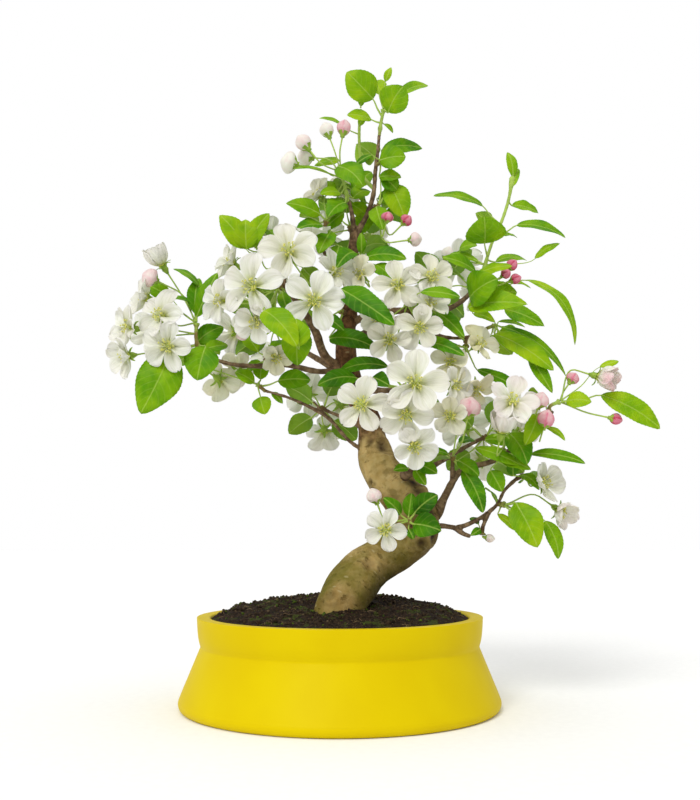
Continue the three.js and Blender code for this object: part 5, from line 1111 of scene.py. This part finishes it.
def flower_stalk(start, base, forward):
    """A stalk that arrives along the way its end faces: a smooth path over start, two bends and
    base. It is thicker at both ends, and browner at its foot."""
    reach = math.dist(start, base)
    path = smooth([start, base - forward * 0.4 * reach, base - forward * 0.12 * reach, base], 12)
    radii = np.interp(np.linspace(0, 1, 12), [0, 0.15, 0.9, 1], [1.1, 0.8, 0.8, 1.0]) * STALK_R
    return solid(tube(path, radii), "shoot_young_bark", age=np.linspace(0.25, 0.0, 12)[:, None])


def bud_parts(start, row, blush, dice):
    """A bud: its stalk, its calyx with five sepals pressed on, and five petals wrapped round one
    another. Each petal swells from under its neighbour to its own free edge: radius times 0.93 +
    0.13 edge², where edge, from 0 to 1 across each petal, is the fraction in 5 a / (2 pi) + 0.4
    height."""
    base = seen(*row[:3])
    way = seen(*row[3:6]) - base
    size = np.linalg.norm(way)
    forward, radius = way / size, row[6] / 2
    wrap = BUD_FORM * [size, radius]
    high = min(0.3 * size, 3.6) * np.array([0, 0.35, 0.7, 1.0])
    cup = np.stack([high, 0.96 * np.interp(high, wrap[:, 0], wrap[:, 1]) + 0.25], 1)
    at = wrap[:, :1] / size
    edge = (5 * np.arange(BUD_SIDES) / BUD_SIDES + 0.4 * at) % 1
    rosy = blush * (0.75 + 0.35 * (1 - at)) * (0.75 + 0.55 * edge**3)
    wrapped = swelling(base, forward, wrap, BUD_SIDES, 0.93 + 0.13 * edge**2)
    return [
        flower_stalk(start, base, forward),
        solid(wrapped, "bud_petal_wrapped", blush=rosy),
        solid(swelling(base, forward, cup, 10), "sepal_downy"),
        sepals(base + forward * 0.2 * size, forward, 0.42 * size, 0.28, dice),
    ]


# ---------------------------------------------------------------- sprays
KNOB_R = 2.6  # mm, the swelling of old bud scars where a spray leaves its twig
SHOOT_R = 1.2
SHOOT_PLACES = 40
LEAF_SHARP = math.radians(75)  # faces that meet at more than this keep a sharp edge


def shoot_path(stem):
    """The shoot's path, and its part that stands clear of the wood: half of it where none does, and
    never less than the last six places."""
    path = smooth([seen(*place) for place in stem], SHOOT_PLACES)
    free = nearest_limb(path)[1] > KNOB_R
    clear = int(np.argmax(free)) if free.any() else SHOOT_PLACES // 2
    return path, path[min(clear, SHOOT_PLACES - 6):]


def start_of(clear, share, towards):
    """Where a stalk starts: on the clear shoot at share of its length, a little towards what it
    carries."""
    at = clear[round(share * (len(clear) - 1))]
    return at + unit(towards - at) * (0.4 * KNOB_R if share in (0, 1) else 0.3)


def shoot(path, clear, age):
    """A woody shoot with rings of bud scars, swollen at its foot and at its tip."""
    run = np.linspace(0, 1, len(path))
    foot = 1 - len(clear) / len(path)
    radii = SHOOT_R * (0.7 + 0.3 * age) + 0.9 * np.exp(-(((run - 0.96) / 0.07) ** 2))
    radii += 0.9 * (0.4 + 0.6 * age) * np.exp(-(((run - foot) / 0.09) ** 2))
    radii = radii + 0.16 * np.sin(run * len(path) * 1.9) ** 2
    radii[-1] *= 0.5
    return solid(tube(path, radii, 10), "shoot_young_bark", age=(age * (1 - 0.5 * run**2))[:, None])


NODE_POINTS = {
    name: np.array([v.co for v in node.data.vertices]) / MM
    for name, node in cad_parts.items() if name.startswith("blossoms")
}


def holder(row, index):
    """The node of the frame that has this blossom: the one with a point nearest to its heart."""
    centre, forward, _, _, radius = blossom_axes(row, index)
    heart = centre + forward * HEART * radius
    gaps = {name: np.linalg.norm(points - heart, axis=1).min() for name, points in NODE_POINTS.items()}
    return min(gaps, key=gaps.get)


gatherings = {name: [] for name in NODE_POINTS}  # the parts of the blossoms that each node has
for order, (name, spray) in enumerate(SPRAYS.items()):
    dice = np.random.default_rng(100 + order)
    path, clear = shoot_path(spray["stem"])
    parts = [shoot(path, clear, spray.get("age", 1.0))]
    for row in spray["leaves"] + spray.get("small", []):
        shade = spray["tone"] + dice.uniform(-0.12, 0.12)
        parts += leaf(start_of(clear, row[8], seen(*row[:3])), row, shade, dice)
    blooms = [(row, 7 * order + j, False) for j, row in enumerate(spray.get("blooms", []))]
    blooms += [(row, order + 3 * j, True) for j, row in enumerate(spray.get("lone", []))]
    for row, index, lone in blooms:
        centre, forward = blossom_axes(row, index)[:2]
        base = centre - forward * (CALYX + (GAP_LONE if lone else GAP_GROUP))
        parts.append(flower_stalk(start_of(clear, row[7], base), base, forward))
        parts.append(solid(swelling(base, forward, CALYX_CUP, 12), "sepal_downy"))
        parts.append(sepals(base + forward * SEPAL_FOOT, forward, SEPAL, SEPAL_LEAN, dice))
        target = parts if lone else gatherings[holder(row, index)]
        # the creamy tint of the spray's petals: partly their age, partly painted shade deep in the
        # crown
        blush, cream = spray["blush"] * dice.uniform(0.5, 1.5), spray.get("cream", 0.15)
        target.append(petals(row, index, blush, cream, dice))
        target += stamens(row, index, dice)
    for row in spray.get("buds", []):
        parts += bud_parts(start_of(clear, row[7], seen(*row[:3])), row, row[8], dice)
    mesh = mesh_of("foliage_" + name, parts)
    mesh.set_sharp_from_angle(angle=LEAF_SHARP)
    piece("foliage_" + name, mesh, "leaf", "spray_" + name)
for name, parts in gatherings.items():
    mesh = mesh_of(name.replace("blossoms", "petals"), parts)
    mesh.set_sharp_from_angle(angle=LEAF_SHARP)
    piece(name.replace("blossoms", "petals"), mesh, "petal", name)


# ---------------------------------------------------------------- soil
MOUTH_R = 77.5  # mm
SOIL_EDGE_Z = 51.5
SOIL_MOUND = 11.0
SOIL_LEAN = 0.6  # how much more the mound rises at the back, as a share of its height
SOIL_TOP_R = 77.1
# What lies on the soil: how many, least and greatest size in mm, the power that draws them to the
# middle, the finish, and the least and greatest tone.
CRUMBS = [
    (980, 0.5, 1.6, 1.0, "peat_soil_damp", (0, 0.35)),
    (200, 0.4, 1.2, 1.0, "peat_soil_damp", (0.5, 1.0)),
    (110, 0.6, 1.7, 1.25, "moss_cushion", (0, 0)),
]
CRUMB_R = 74.5  # mm, as far out as they lie
ROOTS = 60
ROOT_R, ROOT_END_R = 73, 75  # mm, as far out as a root's middle and its ends lie


def soil_height(x, y):
    """The soil's top: a mound (1 - (r / R)²)^0.6 (1 + lean y / R), with clods and crumbs of noise
    on it that die out at the rim."""
    r = np.hypot(x, y)
    mound = SOIL_MOUND * np.clip(1 - (r / MOUTH_R) ** 2, 0, 1) ** 0.6 * (1 + SOIL_LEAN * y / MOUTH_R)
    place = np.stack([x, y, 0 * x], -1)
    clods = 1.1 * roughness(place, 9, 2, 21) + 0.7 * np.abs(roughness(place, 3.4, 3, 31))
    return SOIL_EDGE_Z + mound + (clods - 0.6) * np.clip((MOUTH_R - r) / 5, 0, 1)


def ring_stack(profile, around):
    """Rings of a turned shape, (rows, around, 3), for a profile of (radius, z)."""
    a = np.arange(around) * 2 * np.pi / around
    radius, z = np.asarray(profile, float).T[..., None]
    return np.stack([radius * np.cos(a), radius * np.sin(a), z + 0 * a], -1)


def soil_parts(dice):
    """The soil's body, then crumbs, bits of bark and grit as small lumps, moss cushions and root
    fibres. A lump is a ball whose radius varies by noise, squashed and turned at random."""
    body = [[1, 9.7], [82.2, 9.7], [84.4, 15], [76.1, 36], [SOIL_TOP_R, SOIL_EDGE_Z - 1]]
    top = np.append(SOIL_TOP_R - np.linspace(0, 1, 62) ** 1.15 * 75.5, [0.8])
    sections = ring_stack(body + [[r, 0] for r in top], 300)
    crust = sections[len(body):]
    crust[:, :, 2] = soil_height(crust[:, :, 0], crust[:, :, 1])
    parts = [solid(sections, "peat_soil_damp", tone=0.0)]
    lat = np.array([-1.45, -0.8, 0, 0.8, 1.45])[:, None]
    a = (np.arange(6) * np.pi / 3)[None, :]
    ball = np.stack([np.cos(lat) * np.cos(a), np.cos(lat) * np.sin(a), np.sin(lat) + 0 * a], -1)
    for count, low, high, inwards, finish, shade in CRUMBS:
        r = CRUMB_R * np.sqrt(dice.uniform(0, 1, count)) ** inwards
        angle = dice.uniform(0, 2 * np.pi, count)
        x, y = r * np.cos(angle), r * np.sin(angle)
        size = low + (high - low) * dice.uniform(0, 1, count) ** 2.2
        place = np.stack([x, y, soil_height(x, y) + 0.2 * size], -1)
        turn = np.linalg.qr(dice.normal(size=(count, 3, 3)))[0]
        turn[np.linalg.det(turn) < 0] *= -1
        squash = dice.uniform(0.5, 1.0, (count, 1, 1, 3))
        wobble = 1 + 0.3 * dice.uniform(-1, 1, (count, 5, 6, 1))
        lumps = np.einsum("nrak,njk->nraj", ball * squash * wobble, turn) * size[:, None, None, None]
        shades = dice.uniform(*shade, count)[:, None, None]
        parts.append(solid(lumps + place[:, None, None], finish, tone=shades))
    r = ROOT_R * np.sqrt(dice.uniform(0.02, 1, ROOTS))
    angle = dice.uniform(0, 2 * np.pi, ROOTS)
    way = dice.uniform(0, 2 * np.pi, ROOTS)
    bend = dice.uniform(-1.6, 1.6, ROOTS)
    s = np.linspace(-0.5, 0.5, 7)
    heading = way[:, None] + bend[:, None] * s
    reach = dice.uniform(2, 7, ROOTS)[:, None] * s
    x = (r * np.cos(angle))[:, None] + reach * np.cos(heading)
    y = (r * np.sin(angle))[:, None] + reach * np.sin(heading)
    scale = np.minimum(1, ROOT_END_R / np.hypot(x, y))
    x, y = x * scale, y * scale
    rise = dice.uniform(0.1, 1.0, ROOTS)[:, None] * np.cos(np.pi * s)
    path = np.stack([x, y, soil_height(x, y) + 0.2 + rise], -1)
    radii = dice.uniform(0.1, 0.22, ROOTS)[:, None] * np.ones(7)
    parts.append(solid(tube(path, radii, 4), "root_fibre"))
    return parts


piece("potting_soil", mesh_of("potting_soil", soil_parts(np.random.default_rng(7))), "soil", "soil")


# ---------------------------------------------------------------- pot
DRAIN_X, DRAIN_R = 38.0, 6.5
POT_SIDES = 192
POT_SHARP = math.radians(40)


def rounded(corners, count=7):
    """A profile of (radius, z) with each corner (r, z, fillet) rounded: a quadratic arc between the
    points that stand the fillet's length along its two sides."""
    line = []
    for i, (r, z, fillet) in enumerate(corners):
        here = np.array([r, z], float)
        if not fillet:
            line.append(here)
            continue
        beside = (np.array(corners[i + k][:2], float) for k in (-1, 1))
        before, after = (here + fillet * unit(other - here) for other in beside)
        t = np.linspace(0, 1, count)[:, None]
        line += list((1 - t) ** 2 * before + 2 * t * (1 - t) * here + t**2 * after)
    return np.array(line)


def pot_mesh():
    """A thick-walled pot turned on a wheel: a flat foot with a rounded corner, a straight slope in
    to the waist, a band that swells out above it, and a rounded rim. Two drain holes are cut
    through its floor."""
    outside = [[1, 0, 0], [90, 0, 0], [94.4, 0.2, 1.5], [96.45, 3.4, 2.4], [94.6, 8.4, 3],
               [83.5, 35.8, 0.7], [84.9, 40.2, 3], [85.6, 46.5, 3], [86.0, 53, 0.35], [77.9, 53, 1.4]]
    inside = [[77.2, 45, 3], [76.5, 36, 3], [85, 15, 5], [83, 8, 4], [1, 8, 0]]
    glazed = "stoneware_yellow_satin_glaze"
    wall = solid(ring_stack(rounded(outside + inside), POT_SIDES), glazed)
    pot = placed("pot_turned", mesh_of("pot_turned", [wall]))
    bore = ring_stack([[DRAIN_R, -5], [DRAIN_R, 14]], 48)
    holes = [solid(bore + [x, 0, 0], glazed) for x in (-DRAIN_X, DRAIN_X)]
    cutter = placed("drain_cutter", mesh_of("drain_cutter", holes))
    cut = pot.modifiers.new("drain_holes", "BOOLEAN")
    cut.object, cut.operation, cut.solver = cutter, "DIFFERENCE", "MANIFOLD"
    mesh = baked(pot)
    bpy.data.objects.remove(pot)
    bpy.data.objects.remove(cutter)
    mesh.set_sharp_from_angle(angle=POT_SHARP)
    return mesh


piece("pot_glazed", pot_mesh(), "glazed_ceramic", "pot")
for name in ("drain_screen_left", "drain_screen_right"):
    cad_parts[name].data.materials.clear()
    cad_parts[name].data.materials.append(MATERIALS["polypropylene_mesh_moulded"])


# ---------------------------------------------------------------- floor, light and camera
LENS, SENSOR = 43.56, 36  # mm
# Lights: the direction that each shines from, its width in degrees, and its strength.
SUNS = {"key": ((-0.6, -1.25, 1.25), 24, 1.5), "top": ((0.2, 0.1, 1.6), 50, 0.4)}


def studio():
    """A pale floor, an even white sky, and two soft lights from far off: the upper left front, and
    overhead. The sky is seen a little brighter than it lights the plant."""
    corners = np.array([[-1, -1, 0], [1, -1, 0], [1, 1, 0], [-1, 1, 0]]) * 4.0
    mesh = bpy.data.meshes.new("studio_floor")
    mesh.from_pydata(corners, [], [(0, 1, 2, 3)])
    mesh.materials.append(MATERIALS["board_painted_pale"])
    floor = placed("studio_floor", mesh)
    world = bpy.context.scene.world = bpy.data.worlds.new("studio_sky")
    world.use_nodes = True
    tree = world.node_tree
    tree.nodes.clear()
    dim = add(tree, "Background", None, Color="#ffffff", Strength=0.7)
    backdrop = add(tree, "Background", None, Color="#ffffff", Strength=1.0)
    seen_straight = add(tree, "LightPath").outputs["Is Camera Ray"]
    add(tree, "OutputWorld", None, add(tree, "MixShader", None, seen_straight, dim, backdrop))
    for name, (place, spread, power) in SUNS.items():
        light = bpy.data.lights.new(name, "SUN")
        light.angle, light.energy = math.radians(spread), power
        placed(name, light).rotation_euler = (-Vector(place)).to_track_quat("-Z", "Y").to_euler()
    camera = placed("camera", bpy.data.cameras.new("camera"))
    camera.data.lens, camera.data.sensor_width, camera.data.clip_start = LENS, SENSOR, 0.01
    camera.location = EYE * MM
    camera.rotation_euler = Vector(GAZE - EYE).to_track_quat("-Z", "Y").to_euler()
    bpy.context.scene.camera = camera


studio()
